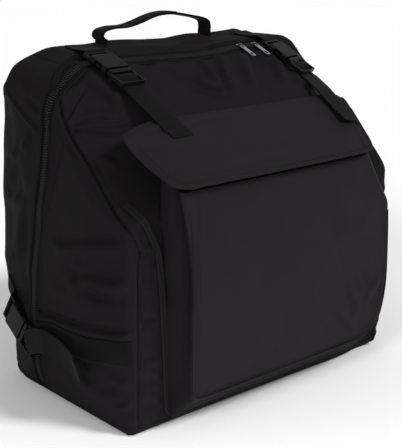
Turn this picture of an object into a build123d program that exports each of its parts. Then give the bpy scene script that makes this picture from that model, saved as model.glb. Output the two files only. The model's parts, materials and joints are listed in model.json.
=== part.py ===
from build123d import *
import math
import os

os.makedirs("parts", exist_ok=True)

# ---------------------------------------------------------------- driving dimensions (mm)
# Frame: X to the wearer's side, Y from the pocket side (-) to the back (+), Z up.
# Origin: on the floor under the middle of the case.
HALF_W = 272.0          # half width of the case at the bulge of its sides
FRONT_Y = -150.0        # front wall
BACK_Y = 157.0          # back wall at the floor
TOP_Z = 500.0           # highest seam of the case
SKIN = 1.2              # coated polyester outer skin
FOAM = 5.0              # closed cell padding
LINING = 0.9            # inner lining
CORNER_R = 18.0         # rounded edges of the body
TAPE_GAP = 10.0         # skin edge to zipper centre
ZIP_HALF = 0.35         # half gap between the two coils
COIL_W = 2.6            # width of one coil
WEB_W = 38.0            # webbing width
WEB_T = 2.0             # webbing thickness
BASE_LIP = 10.0         # height of the base tray's turned-up edge
HINGE_Y, HINGE_Z = 157.6, 8.5   # fold line of the lid along the back bottom edge
POCKET_CX = -8.0        # the pocket is sewn slightly left of the middle
POCKET_FRONT_Y = -197.0
POCKET_TOP_Z = 350.0
FLAP_HINGE = (-88.0, 419.5)     # Y, Z of the flap's seam
FLAP_ANGLE = 29.5       # slope of the flap, degrees
FLAP_LEN = 136.0
BUCKLE_L_SOCKET = 36.0
BUCKLE_SLIDE = 30.0     # travel that frees the plug
LID_OPEN_DEG = 75.0

BIG = 2000.0

# side profile (Y, Z) of the outer surface, clockwise from the front bottom
SIDE = [(-150, 0), (-150, 366), (-88, 413), (-60, 430), (10, 473), (45, 491), (75, 500),
        (132, 500), (151, 480), (167, 400), (171, 290), (168, 150), (157, 0)]
# front outline (X, Z)
FRONT = [(-262, 0), (-272, 50), (-272, 290), (-256, 436), (-236, 474), (-186, 500),
         (186, 500), (236, 474), (256, 436), (272, 290), (272, 60), (255, 0)]
# plan outline (X, Y)
PLAN = [(-256, -150), (-272, -70), (-272, 70), (-246, 172), (246, 172), (272, 70),
        (273, -60), (273, -150)]
PLAN_R = [18, 80, 80, 18, 18, 80, 80, 18]
# zipper centre line (Y, Z)
ZIP = [(60, -60), (61, 60), (63, 135), (57, 198), (46, 250), (34, 326),
       (30, 387), (29, 430), (34, 470), (47, 500), (70, 560)]


def inset(poly, k):
    """Offset a closed clockwise polygon inward by k (outward when k is negative)."""
    n = len(poly)
    area = sum(poly[i][0] * poly[(i + 1) % n][1] - poly[(i + 1) % n][0] * poly[i][1] for i in range(n))
    s = -1.0 if area < 0 else 1.0
    lines = []
    for i in range(n):
        (x0, y0), (x1, y1) = poly[i], poly[(i + 1) % n]
        dx, dy = x1 - x0, y1 - y0
        L = math.hypot(dx, dy)
        nx, ny = -dy / L * s, dx / L * s
        lines.append((x0 + nx * k, y0 + ny * k, dx / L, dy / L))
    out = []
    for i in range(n):
        x0, y0, ax, ay = lines[i - 1]
        x1, y1, bx, by = lines[i]
        den = ax * by - ay * bx
        t = ((x1 - x0) * by - (y1 - y0) * bx) / den
        out.append((x0 + ax * t, y0 + ay * t))
    return out


def rounded(poly, radii):
    """Face of a polygon with its corners rounded by a radius each (0 leaves a corner)."""
    f = make_face(Polyline(*poly, close=True))
    vs = f.vertices()
    for p, r in zip(poly, radii):
        if r <= 0.3:
            continue
        v = min(f.vertices(), key=lambda q: (q.X - p[0]) ** 2 + (q.Y - p[1]) ** 2)
        f = fillet(v, r)
    return f


def facet(side, k=0.0):
    """Half space under the corner slope, on the left (-1) or the right (+1)."""
    n = Vector(side * 0.717, -0.471 if side < 0 else -0.416, 0.559).normalized()
    p = Vector(-250 if side < 0 else 268, -150, 295) - n * k
    x = Vector(0, 1, 0.744).normalized()
    x = (x - n * x.dot(n)).normalized()
    return Plane(origin=p, x_dir=x, z_dir=n) * Pos(0, 0, -BIG / 2) * Box(BIG, BIG, BIG)


def shoulder(side, k=0.0):
    """Half space under the soft shoulder between the slope and its corner facet."""
    n = Vector(side * 0.39, -0.66 if side < 0 else -0.48, 0.785).normalized()
    p = Vector(side * 196, -20, 455) - n * (13.0 + k)
    x = Vector(0, 0.785, 0.48).normalized()
    x = (x - n * x.dot(n)).normalized()
    return Plane(origin=p, x_dir=x, z_dir=n) * Pos(0, 0, -BIG / 2) * Box(BIG, BIG, BIG)


SIDE_R = [14, 34, 60, 60, 60, 60, 50, 22, 30, 60, 60, 60, 12]
FRONT_R = [12, 30, 60, 24, 30, 30, 30, 30, 24, 60, 30, 12]


def body(k):
    s = inset(SIDE, k)
    a = make_face(Polyline(*s, close=True))
    a = rounded(s, [max(r - k, 0) for r in SIDE_R])
    a = extrude(Plane.YZ * a, BIG / 2, both=True)
    f = inset(FRONT, k)
    b = rounded(f, [max(r - k, 0) for r in FRONT_R])
    b = extrude(Plane.XZ * b, BIG / 2, both=True)
    p = inset(PLAN, k)
    c = rounded(p, [max(r - k, 0) for r in PLAN_R])
    c = extrude(c, BIG / 2, both=True)
    out = a & c
    out = out & b
    for q in (-1, 1):
        out = out & facet(q, k)
        out = out & shoulder(q, k)
    return out


def before_zip(d):
    """Everything in front of the zipper surface moved back by d."""
    pts = [(y + d, z) for y, z in ZIP]
    pts = pts + [(-BIG, 560), (-BIG, -60)]
    return extrude(Plane.YZ * make_face(Polyline(*pts, close=True)), BIG / 2, both=True)


def slab(x0=-BIG, x1=BIG, y0=-BIG, y1=BIG, z0=-BIG, z1=BIG):
    return Pos((x0 + x1) / 2, (y0 + y1) / 2, (z0 + z1) / 2) * Box(x1 - x0, y1 - y0, z1 - z0)


def below_seam(d=0.0):
    """Everything under the sloping side seam, moved up by d."""
    n = Vector(0, -0.597, 0.802).normalized()
    p = Vector(0, -150, 287.3) + n * d
    return Plane(origin=p, x_dir=(1, 0, 0), z_dir=n) * Pos(0, 0, -BIG / 2) * Box(BIG, BIG, BIG)


def solids_of(shape):
    return sorted(shape.solids(), key=lambda s: -s.volume)


def keep(shape, least=20.0):
    """The real pieces of a cut, without slivers."""
    got = [s for s in solids_of(shape) if s.volume > least]
    return got[0] if len(got) == 1 else Compound(children=got)


WRITTEN = {}


def write(shape, node, least=5.0):
    got = [s for s in shape.solids() if s.volume > least]
    shape = got[0] if len(got) == 1 else Compound(children=got)
    export_step(shape, "parts/%s.step" % node)
    WRITTEN[node] = shape


def path_web(points, thick, width, plane, centre=0.0):
    """A band of the given thickness along a 2-D path, extruded across its width.

    points are in the plane's own x, y; the band is centred on the path."""
    left, right = [], []
    n = len(points)
    dirs = []
    for i in range(n - 1):
        dx, dy = points[i + 1][0] - points[i][0], points[i + 1][1] - points[i][1]
        L = math.hypot(dx, dy)
        dirs.append((dx / L, dy / L))
    for i in range(n):
        if i == 0:
            nx, ny, m = -dirs[0][1], dirs[0][0], 1.0
        elif i == n - 1:
            nx, ny, m = -dirs[-1][1], dirs[-1][0], 1.0
        else:
            ax, ay = dirs[i - 1]
            bx, by = dirs[i]
            nx, ny = -(ay + by), ax + bx
            L = math.hypot(nx, ny)
            nx, ny = nx / L, ny / L
            m = 1.0 / max(0.3, (-ay * nx + ax * ny))
        left.append((points[i][0] + nx * thick / 2 * m, points[i][1] + ny * thick / 2 * m))
        right.append((points[i][0] - nx * thick / 2 * m, points[i][1] - ny * thick / 2 * m))
    face = make_face(Polyline(*(left + right[::-1]), close=True))
    return plane * Pos(0, 0, centre) * extrude(face, width / 2, both=True)


# ---------------------------------------------------------------- shells
B0, B1, B2, B3 = body(0), body(SKIN), body(SKIN + FOAM), body(SKIN + FOAM + LINING)
skin = B0 - B1
foam = B1 - B2
lining = B2 - B3

ZF = before_zip(-TAPE_GAP)      # front shell ends here
ZB = before_zip(TAPE_GAP)       # back shell begins behind this
base_zone = slab(z1=BASE_LIP)
above_base = slab(z0=BASE_LIP)
above_lid = slab(z0=BASE_LIP + 0.6)

write(skin & base_zone, "base_panel")
front_skin = (skin & above_base) & ZF
sides_zone = below_seam()
front_face = slab(x0=-238, x1=238, y1=FRONT_Y + SKIN + 0.35)
lower_front = front_skin & front_face
lower_front = lower_front & slab(z1=372)
write(keep(lower_front), "lower_front_panel")
left_side = (front_skin & slab(x1=-238)) & sides_zone
right_side = (front_skin & slab(x0=238)) & sides_zone
write(keep(left_side), "left_side_panel")
write(keep(right_side), "right_side_panel")
upper = ((front_skin - front_face) - (slab(x1=-238) & sides_zone)) - (slab(x0=238) & sides_zone)
upper = upper & slab(z0=250)
write(keep(upper), "upper_front_panel")

lid_skin = (skin & above_lid) - ZB
lid_back_face = slab(x0=-238, x1=238, y0=146.0)
write(keep((lid_skin & lid_back_face) & slab(z1=470)), "back_panel")
write(keep((lid_skin - lid_back_face) + ((lid_skin & lid_back_face) & slab(z0=470))), "rim_panel")

# padding, cut as flat boards
fz = before_zip(-TAPE_GAP - 2)
base_foam_zone = slab(z1=6.2 + 0.01)
write(keep((foam & slab(z1=SKIN + FOAM)) & slab(x0=-236, x1=236, y0=-134, y1=143)), "base_board")
root_foam = (foam & slab(z0=BASE_LIP)) & fz
ff = slab(x0=-236, x1=236, y1=FRONT_Y + SKIN + FOAM + 0.35)
write(keep((root_foam & ff) & slab(z1=366)), "lower_front_foam")
ls = (root_foam & slab(x1=-240)) & below_seam(-4)
rs = (root_foam & slab(x0=240)) & below_seam(-4)
write(Compound(children=[keep(ls & slab(y0=-140)), keep(rs & slab(y0=-140))]), "side_foams")
uf = (root_foam - ff) & slab(z0=250)
uf = (uf - slab(x1=-HALF_W + SKIN + FOAM + 4)) - slab(x0=HALF_W - SKIN - FOAM - 4)
uf = uf - below_seam(2)


def fold(side, d):
    """Half space on the outer side of the fold between the slope and its corner."""
    n = Vector(side, 0.06, 0).normalized()
    return Plane(origin=(side * (192 + d), -150, 372), x_dir=(0, 0, 1), z_dir=n) * Pos(0, 0, BIG / 2) * Box(BIG, BIG, BIG)


mid = (uf - fold(-1, -3)) - fold(1, -3)
cl = uf & fold(-1, 0.6)
cr = uf & fold(1, 0.6)
write(Compound(children=[keep(mid & slab(z0=378)), keep(cl), keep(cr)]), "upper_front_foam")

lid_foam = (foam & above_lid) - before_zip(TAPE_GAP + 2)
bf = slab(x0=-236, x1=236, y0=143.0)
write(keep((lid_foam & bf) & slab(z1=462)), "back_foam")
rim_l = keep((lid_foam & slab(x1=-238)) & slab(z1=434, y1=158))
rim_r = keep((lid_foam & slab(x0=238)) & slab(z1=434, y1=158))
rim_t = keep((lid_foam & slab(z0=TOP_Z - SKIN - FOAM - 3)) & slab(x0=-182, x1=182, y1=132))
write(Compound(children=[rim_l, rim_t, rim_r]), "rim_foams")

write(keep((lining & slab(z0=0)) & before_zip(-TAPE_GAP - 1)), "front_lining", 20)
lid_lin = (lining & slab(z0=BASE_LIP + 0.6)) - before_zip(TAPE_GAP + 1)
write(keep(lid_lin), "back_lining", 20)

# ---------------------------------------------------------------- zipper
tape_layer = body(0.2) - body(SKIN - 0.2)
tf = ((tape_layer & above_base) & before_zip(-COIL_W - ZIP_HALF)) - ZF
tb = ((tape_layer & above_lid) & ZB) - before_zip(COIL_W + ZIP_HALF)
write(keep(tf), "zipper_tape_front")
write(keep(tb), "zipper_tape_back")
coil_layer = body(-0.9) - body(1.5)
cf = (coil_layer & slab(z0=BASE_LIP + 4)) & (before_zip(-ZIP_HALF) - before_zip(-COIL_W - ZIP_HALF))
cb = (coil_layer & slab(z0=BASE_LIP + 4)) & (before_zip(COIL_W + ZIP_HALF) - before_zip(ZIP_HALF))
write(keep(cf), "zipper_coil_front")
write(keep(cb), "zipper_coil_back")

# fold strip that joins the lid to the base along the back bottom edge
write(slab(x0=-220, x1=220, y0=BACK_Y + 0.05, y1=BACK_Y + 0.75, z0=0.8, z1=8.0)
      - B0, "lid_hinge_strip")

# ---------------------------------------------------------------- pocket
# outlines in X, Z: on the pocket's front face and on the case's front panel
P_FACE = [(-191, 44), (158, 44), (201, 72), (221, 150), (220, 262), (160, 348), (-200, 350), (-202, 300)]
P_SEAM = [(-202, 9), (188, 9), (228, 38), (242, 140), (240, 285), (188, 361), (-192, 361), (-215, 300)]


def open_top(outline, k, rise):
    """The outline drawn k mm inside itself, its top edge lifted clear."""
    o = inset(outline, k)
    o[5] = (o[5][0], o[5][1] + rise)
    o[6] = (o[6][0], o[6][1] + rise)
    return o


def at_y(outline, y):
    return make_face(Polyline(*[(x, y, z) for x, z in outline], close=True))


g_out = loft([at_y(P_FACE, POCKET_FRONT_Y), at_y(P_SEAM, FRONT_Y - 0.3)], ruled=True)
g_in = loft([at_y(open_top(P_FACE, 1.3, 9), POCKET_FRONT_Y), at_y(open_top(P_SEAM, 1.3, 30), FRONT_Y - 0.3)], ruled=True)
gus = (g_out - g_in) & slab(y0=POCKET_FRONT_Y + 2.2)
write(keep(gus), "pocket_gusset")
pf = (g_out & slab(y1=POCKET_FRONT_Y + 2.2)) & slab(z1=346)
# its top edge turns in under the flap and carries the loop strip
ta = math.radians(FLAP_ANGLE)
UNDER = Plane(origin=(POCKET_CX, FLAP_HINGE[0], FLAP_HINGE[1]), x_dir=(1, 0, 0), z_dir=(0, -math.sin(ta), math.cos(ta)))
turn = UNDER * Pos(0, -113.65, -4.75) * Box(300, 27.3, 1.5)
rise = slab(x0=POCKET_CX - 150, x1=POCKET_CX + 150, y0=POCKET_FRONT_Y, y1=POCKET_FRONT_Y + 2.1, z0=340, z1=353.2)
write(keep(pf + rise + turn), "pocket_front")


def outline_band(outer, inner, y0, y1, z1):
    """A flat band between two outlines, left open along the top."""
    a = extrude(Plane.XZ * make_face(Polyline(*outer, close=True)), BIG / 2, both=True)
    b = extrude(Plane.XZ * make_face(Polyline(*inner, close=True)), BIG / 2, both=True)
    return ((a - b) & slab(y0=y0, y1=y1)) & slab(z1=z1)


write(keep(outline_band(P_FACE, open_top(P_FACE, 9, 40), POCKET_FRONT_Y - 2.0, POCKET_FRONT_Y - 0.05, 345)), "pocket_front_binding")
write(keep(outline_band(open_top(P_SEAM, -8, 0), open_top(P_SEAM, -0.6, 60), FRONT_Y - 2.3, FRONT_Y - 0.3, 359)), "pocket_seam_binding")
write(UNDER * Pos(0, -111.5, -3.05) * Box(220, 25, 1.8), "pocket_loop_strip")

# ---------------------------------------------------------------- flap
fy, fz0 = FLAP_HINGE
fa = math.radians(FLAP_ANGLE)
FLAP = Plane(origin=(POCKET_CX, fy, fz0), x_dir=(1, 0, 0), z_dir=(0, -math.sin(fa), math.cos(fa)))
# local x across, local y up the slope (the flap runs to -y), z out of the flap
sheet = [(-226, -1.0), (-220, -FLAP_LEN + 26), (-196, -FLAP_LEN), (160, -FLAP_LEN), (175, -FLAP_LEN + 20), (212, -FLAP_LEN + 96), (216, -1.0)]
fs = extrude(make_face(Polyline(*sheet, close=True)), 1.6)
write(FLAP * fs, "pocket_flap")
outer = make_face(Polyline(*sheet, close=True))
inner_pts = [(-216, -1.0), (-211, -FLAP_LEN + 29.5), (-192, -FLAP_LEN + 9), (156, -FLAP_LEN + 9), (167, -FLAP_LEN + 24), (202.5, -FLAP_LEN + 97), (206.5, -1.0)]
bind = extrude(outer - make_face(Polyline(*inner_pts, close=True)), 1.3)
write(FLAP * Pos(0, 0, 1.65) * bind & slab(), "flap_binding")
# hook strip on the flap's underside, over the loop strip
write(FLAP * Pos(0, -111.5, -0.95) * Box(216, 25, 1.7), "flap_hook_strip")

# ---------------------------------------------------------------- straps and buckles
def socket():
    """Female half of a side release buckle; local x along the strap, z out of the case."""
    b = Box(BUCKLE_L_SOCKET, 46, 11)
    b = Pos(BUCKLE_L_SOCKET / 2, 0, 5.5) * b
    b = fillet(b.edges().filter_by(Axis.X), 3.0)
    b = b - Pos(22, 0, 5.6) * Box(33, 39, 7.2)
    for s in (-1, 1):
        b = b - Pos(19, s * 23, 5.6) * Box(15, 12, 8.4)
    frame = Pos(-6.5, 0, 4.5) * Box(14, 46, 5) - Pos(-4.6, 0, 4.5) * Box(7.4, 39, 9)
    frame = fillet(frame.edges().filter_by(Axis.Z).group_by(Axis.X)[0], 3.0)
    return b + frame


def plug():
    """Male half: base block and the slotted frame that the webbing threads through."""
    b = Pos(41.5, 0, 5.6) * Box(8, 42, 8)
    b = fillet(b.edges().filter_by(Axis.Y), 2.0)
    rails = Pos(58.5, 0, 4.8) * Box(28, 48, 5.6) - Pos(58.5, 0, 4.8) * Box(24, 39.4, 9)
    rails = rails - Pos(45, 0, 4.8) * Box(3, 39.4, 9)
    rails = fillet(rails.edges().filter_by(Axis.Z).group_by(Axis.X)[-1], 3.0)
    bar = Pos(57.0, 0, 4.0) * Box(4.2, 40.4, 3.6)
    return b + rails + bar


def prongs():
    """The two spring arms and the guide tongue that stand in the socket."""
    out = Pos(28.7, 0, 5.6) * Box(17.4, 7, 4.6)
    for s in (-1, 1):
        arm = Pos(25.2, s * 14.2, 5.6) * Box(24.4, 4.2, 4.8)
        pts = [(13.4, s * 16.2), (13.4, s * 18.6), (16.5, s * 23.6), (24.0, s * 23.6), (26.0, s * 16.2)]
        btn = Pos(0, 0, 3.2) * extrude(make_face(Polyline(*pts, close=True)), 4.8)
        out = out + arm + btn
    return out


def strap_plane(x, y, z, plan_deg, slope_deg):
    """Local x runs down the strap towards the pocket, z out of the case."""
    p, s = math.radians(plan_deg), math.radians(slope_deg)
    u = Vector(math.sin(p) * math.cos(s), -math.cos(p) * math.cos(s), -math.sin(s))
    v = Vector(math.cos(p), math.sin(p), 0)
    return Plane(origin=(x, y, z), x_dir=u, z_dir=u.cross(v))


def upright_plane(x, y, plan_deg):
    """Upright plane through a strap: local x forwards over the floor, local y up."""
    p = math.radians(plan_deg)
    h = Vector(math.sin(p), -math.cos(p), 0)
    return Plane(origin=(x, y, 0), x_dir=h, z_dir=h.cross(Vector(0, 0, 1)))


TL = dict(x=-161.0, y=38.0, z=490.4, plan=8.0, slope=25.5, plan2=3.0, run=117.0, up1=8.5, up2=6.0, up0=9.5, roll=0.0)
TR = dict(x=190.0, y=36.0, z=483.6, plan=18.0, slope=32.0, plan2=-13.0, run=152.0, up1=13.1, up2=9.8, up0=13.4, roll=11.0)
BAR_U = 57.0            # where the webbing turns in the plug's frame


def side_plane(side, y, z, slope_deg):
    """Buckle on a side wall: local x runs forwards and down, z out of the wall."""
    s = math.radians(slope_deg)
    u = Vector(0, -math.cos(s), -math.sin(s))
    return Plane(origin=(side * (HALF_W + 1.6), y, z), x_dir=u, z_dir=(side, 0, 0))


SIDE_BUCKLE = (117.0, 116.0, 35.5)      # Y, Z, slope
flap_slope = math.tan(math.radians(FLAP_ANGLE))
sockets, webs, anchors_top, anchors_side, webs_side = [], [], [], [], []
TAILS = {}
for name, t in (("left", TL), ("right", TR)):
    P = strap_plane(t["x"], t["y"], t["z"], t["plan"], t["slope"])
    U = upright_plane(t["x"], t["y"], t["plan"])
    sockets.append(P * socket())
    write(P * plug(), "%s_top_buckle_plug" % name)
    write(P * prongs(), "%s_top_buckle_prongs" % name)
    # webbing from its seam on the crown to the socket's bar
    s = math.radians(t["slope"])
    bx, bz = -10.6 * math.cos(s) + 4.5 * math.sin(s), t["z"] + 10.6 * math.sin(s) + 4.5 * math.cos(s)
    pts = [(-74, TOP_Z + 1.5), (-34, TOP_Z + 2.0), (bx - 8, bz + 4.4), (bx, bz + 3.4), (bx + 1.6, bz + 1.6)]
    w = path_web(pts, WEB_T, WEB_W, U)
    webs.append(keep(w - P * socket(), 200))
    # anchored webbing from the flap seam up to the plug's bar
    a = P.from_local_coords((BAR_U, 0, 0.9))
    cp = math.cos(math.radians(t["plan2"]))
    A = upright_plane(a.X, a.Y, t["plan2"])
    reach = (a.Y - (FLAP_HINGE[0] + 5.4)) / cp
    pts = [(-1.5, a.Z), (7.0, a.Z - 2.6), (reach, FLAP_HINGE[1] + 2.6)]
    anchors_top.append(keep(path_web(pts, 1.2, WEB_W, A) - P * plug(), 200))
    # hanging tail: over the bar and the frame's end, then down on to the flap
    o = P.from_local_coords((BAR_U, 0, t["up0"]))
    e = P.from_local_coords((BAR_U + 17, 0, t["up0"]))
    p2, rl = math.radians(t["plan2"]), math.radians(t["roll"])
    h = Vector(math.sin(p2), -math.cos(p2), 0)
    wd = Vector(-math.cos(p2) * math.cos(rl), -math.sin(p2) * math.cos(rl), math.sin(rl))
    A = Plane(origin=(o.X, o.Y, o.Z), x_dir=h, z_dir=wd)
    q = A.y_dir.Z
    se = (Vector(e.X, e.Y, 0) - Vector(o.X, o.Y, 0)).dot(h)
    s1 = (o.Y - (FLAP_HINGE[0] + 6.0)) / cp
    z1 = FLAP_HINGE[1] + t["up1"]
    s2 = t["run"]
    z2 = FLAP_HINGE[1] - (s2 * cp - (o.Y - FLAP_HINGE[0])) * flap_slope + t["up2"]
    k = 14.0
    path = [(-1.0, 0.4 / q), (se, (e.Z - o.Z) / q), (s1, (z1 - o.Z) / q), (s2, (z2 - o.Z) / q)]
    dz = (path[3][1] - path[2][1]) / (s2 - s1)
    body_t = path_web(path, WEB_T, WEB_W, A)
    hem = path_web([(s2 - k, path[3][1] - dz * k + 1.9), (s2, path[3][1] + 1.9)], WEB_T, WEB_W - 1, A)
    ahead = P * Pos(BAR_U + 148.6, 0, 0) * Box(300, 300, 400)
    write(keep((body_t + hem) & ahead, 200), "%s_top_strap_tail" % name)
    TAILS[name + "_top"] = (o.X, o.Y, o.Z, P.y_dir.X, P.y_dir.Y, P.y_dir.Z)

for side, name in ((-1, "left"), (1, "right")):
    P = side_plane(side, *SIDE_BUCKLE)
    sockets.append(P * socket())
    write(P * plug(), "%s_side_buckle_plug" % name)
    write(P * prongs(), "%s_side_buckle_prongs" % name)
    # webbing from the socket's bar round to the back seam
    E = Plane(origin=P.origin, x_dir=P.x_dir, z_dir=P.x_dir.cross(P.z_dir))
    w = path_web([(-46, -11.6), (-30, -4.6), (-18, 5.4), (-11.5, 7.9), (-8.6, 6.4)], WEB_T, WEB_W, E)
    webs_side.append(keep(w - P * socket(), 200))
    # anchored band from the front corner seam to the plug's bar
    u0 = P.from_local_coords((BAR_U, 0, 0))
    yb, zb = u0.Y, u0.Z
    e = HALF_W + 0.95
    front_x = e - 13.4 if side < 0 else e + 1.0
    plan_pts = [(side * (e + 0.8), yb + 2.0), (side * (e + 0.8), 54.0), (side * e, 46.0), (side * e, -68.0), (side * front_x, -140.0)]
    tall = path_web(plan_pts, 1.2, 600.0, Plane.XY)
    band = Polyline((-140, 149.0), (-140, 111.0), (yb - 12, zb - 17.0), (yb + 2.5, zb - 15.0), (yb + 2.5, zb + 13.0), (yb - 14, zb + 19.0), close=True)
    b = tall & extrude(Plane.YZ * make_face(band), BIG / 2, both=True)
    anchors_side.append(keep(b - P * plug(), 200))
    # hanging tail, standing off the wall
    o = P.from_local_coords((BAR_U + 2, 0, 9.2))
    rise, lift = math.radians(3.0), math.radians(2.6)
    u = Vector(side * math.sin(lift), -math.cos(rise) * math.cos(lift), math.sin(rise) * math.cos(lift))
    v0 = Vector(0, math.sin(rise), math.cos(rise))
    w = u.cross(v0)
    if w.X * side < 0:
        w = -w
    Q = Plane(origin=(o.X, o.Y, o.Z), x_dir=u, z_dir=w)
    L = 146.0
    tail = Pos(L / 2, 0, 1.6) * Box(L, WEB_W, WEB_T)
    hem = Pos(L - 7, 0, 1.6 + WEB_T - 0.2) * Box(14, WEB_W - 1, WEB_T)
    write(Q * (tail + hem), "%s_side_strap_tail" % name)
    TAILS[name + "_side"] = (o.X, o.Y, o.Z, Q.y_dir.X, Q.y_dir.Y, Q.y_dir.Z)

write(Compound(children=sockets), "buckle_sockets")
write(Compound(children=webs), "top_strap_webbing")
write(Compound(children=webs_side), "side_strap_webbing")
write(Compound(children=anchors_top), "top_strap_anchors")
write(Compound(children=anchors_side), "side_strap_anchors")

# ---------------------------------------------------------------- zipper sliders and pulls
# the slider sits on the crown where the surface is (ZY, ZZ) high and slopes forward
ZY, ZZ, ZSL = 43.6, 490.6, 24.0
z_s = math.radians(ZSL)


def slider_plane(x):
    u = Vector(0, -math.cos(z_s), -math.sin(z_s))
    return Plane(origin=(x, ZY, ZZ), x_dir=u, z_dir=(0, -math.sin(z_s), math.cos(z_s)))


def slider():
    """Local x down the slope, y across the case: plates over and under the coil."""
    top = Pos(1.2, 0, 3.1) * Box(7.0, 12, 1.2)
    top = fillet(top.edges().filter_by(Axis.Z), 2.0)
    bail = Pos(1.6, 0, 4.6) * Box(2.2, 7.0, 2.4) - Pos(1.6, 0, 4.1) * Box(5, 4.2, 1.2)
    return top + bail


for name, x in (("left", 118.0), ("right", 150.0)):
    P = slider_plane(x)
    write(P * slider(), "%s_zipper_slider" % name)
    # pull: ring end and flat tab lying down the slope
    tab = Pos(3.2 + 19, 0, 4.3) * Box(34, 8.0, 1.4)
    tab = fillet(tab.edges().filter_by(Axis.Z), 3.0)
    tab = tab - Pos(32.0, 0, 4.3) * Box(8, 3.6, 4)
    tab = tab - Pos(8.2, 0, 4.3) * Box(4.4, 4.0, 4)
    write(P * tab, "%s_zipper_pull" % name)

# ---------------------------------------------------------------- carry handle
HY = 112.0
HANDLE_PIVOT_Z = TOP_Z + 3.0
hp = [(-103, TOP_Z + 13.4), (-102, TOP_Z + 17), (-93, TOP_Z + 22), (-48, TOP_Z + 34), (-10, TOP_Z + 44.5),
      (24, TOP_Z + 46), (92, TOP_Z + 35), (103, TOP_Z + 29), (105, TOP_Z + 22), (105, TOP_Z + 13.4)]
HPL = Plane(origin=(0, HY, 0), x_dir=(1, 0, 0), z_dir=(0, -1, 0))
write(path_web(hp, 3.6, 30.0, HPL), "carry_handle")
# the feet flex where the webbing turns up from its tabs
lf = path_web([(-103, TOP_Z + 2.8), (-103, TOP_Z + 12.4)], 3.6, 28.0, HPL)
rf = path_web([(105, TOP_Z + 2.8), (105, TOP_Z + 12.4)], 3.6, 28.0, HPL)
write(Compound(children=[lf, rf]), "handle_feet")
tabs = []
for s in (-1, 1):
    tabs.append(Pos(s * 120, HY, TOP_Z + 1.3) * Box(44, 38, 2.2))
write(Compound(children=tabs), "handle_tabs")
write(Pos(-62, 121, TOP_Z + 1.2) * Box(26, 22, 2.0), "hanging_loop_tab")

# ---------------------------------------------------------------- shoulder harness on the back
pads, lowers, adjusters = [], [], []
for s in (-1, 1):
    pts = [(186.0, 430.0), (184.5, 400), (184.0, 290), (184.0, 205.0)]
    pl = Plane(origin=(s * 96, 0, 0), x_dir=(0, 1, 0), z_dir=(1, 0, 0))
    pad = path_web(pts, 11.0, 66.0, pl)
    pads.append(pad)
    lw = path_web([(180.0, 190.0), (178.5, 120), (175.5, 60.0)], WEB_T, 25.0, Plane(origin=(s * 110, 0, 0), x_dir=(0, 1, 0), z_dir=(1, 0, 0)))
    lowers.append(lw)
    ad = Pos(s * 104, 180.0, 196.6) * Box(34, 6, 13) - Pos(s * 104, 180.0, 196.6) * Box(27, 9, 6)
    adjusters.append(ad)
write(Compound(children=pads), "shoulder_pads")
write(Compound(children=lowers), "shoulder_strap_webbing")
write(Compound(children=adjusters), "shoulder_strap_adjusters")
yoke = path_web([(187.5, 431.5), (170.5, 452.0), (166.0, 462.0)], 3.0, 250.0, Plane(origin=(0, 0, 0), x_dir=(0, 1, 0), z_dir=(1, 0, 0)))
write(yoke - B0, "shoulder_yoke")

for node, shape in WRITTEN.items():
    bb = shape.bounding_box()
    print("%-28s %2d solids  vol %10.0f  X %7.1f %7.1f  Y %7.1f %7.1f  Z %7.1f %7.1f" % (
        node, len(shape.solids()), shape.volume, bb.min.X, bb.max.X, bb.min.Y, bb.max.Y, bb.min.Z, bb.max.Z))
for k, v in TAILS.items():
    print("tail", k, [round(q, 4) for q in v])
print("nodes", len(WRITTEN))
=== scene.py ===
import bpy
import bmesh
import json
import math
import numpy as np
from mathutils import Vector, Matrix
from mathutils.bvhtree import BVHTree


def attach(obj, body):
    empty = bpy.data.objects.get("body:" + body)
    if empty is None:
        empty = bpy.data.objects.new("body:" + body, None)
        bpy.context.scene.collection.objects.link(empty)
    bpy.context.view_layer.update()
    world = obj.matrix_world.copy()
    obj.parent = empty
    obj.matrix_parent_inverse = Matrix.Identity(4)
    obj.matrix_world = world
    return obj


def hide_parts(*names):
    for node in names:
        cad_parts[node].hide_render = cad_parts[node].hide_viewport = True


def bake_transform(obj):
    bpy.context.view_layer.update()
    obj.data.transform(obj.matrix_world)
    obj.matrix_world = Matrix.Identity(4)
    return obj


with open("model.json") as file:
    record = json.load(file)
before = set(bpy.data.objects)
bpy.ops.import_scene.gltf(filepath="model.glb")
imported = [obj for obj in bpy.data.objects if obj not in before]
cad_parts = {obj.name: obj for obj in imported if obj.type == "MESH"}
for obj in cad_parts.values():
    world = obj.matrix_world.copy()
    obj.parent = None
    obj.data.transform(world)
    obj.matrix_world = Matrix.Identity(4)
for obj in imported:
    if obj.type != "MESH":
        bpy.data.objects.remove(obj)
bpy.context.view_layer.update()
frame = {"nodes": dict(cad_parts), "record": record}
NODES = frame["nodes"]
MM = 0.001
COL = bpy.context.scene.collection

# ------------------------------------------------------------------ numbers shared with the CAD, in mm
ZIP = np.array([(60, -60), (61, 60), (63, 135), (57, 198), (46, 250), (34, 326),
                (30, 387), (29, 430), (34, 470), (47, 500), (70, 560)], float)
BASE = 10.0
FLAP_Y, FLAP_Z, FLAP_A, FLAP_L, FLAP_CX = -88.0, 419.5, 29.5, 136.0, -8.0
P_FACE = [(-191, 44), (158, 44), (201, 72), (221, 150), (220, 262), (160, 348), (-200, 350), (-202, 300)]
P_SEAM = [(-202, 9), (188, 9), (228, 38), (242, 140), (240, 285), (188, 361), (-192, 361), (-215, 300)]
HANDLE_Y = 112.0
TOP = 500.0

# ------------------------------------------------------------------ noise, in numpy, seeded
_rng = np.random.RandomState(7)
_perm = _rng.permutation(256)
_grad = _rng.normal(size=(256, 3))
_grad /= np.linalg.norm(_grad, axis=1)[:, None]


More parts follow.
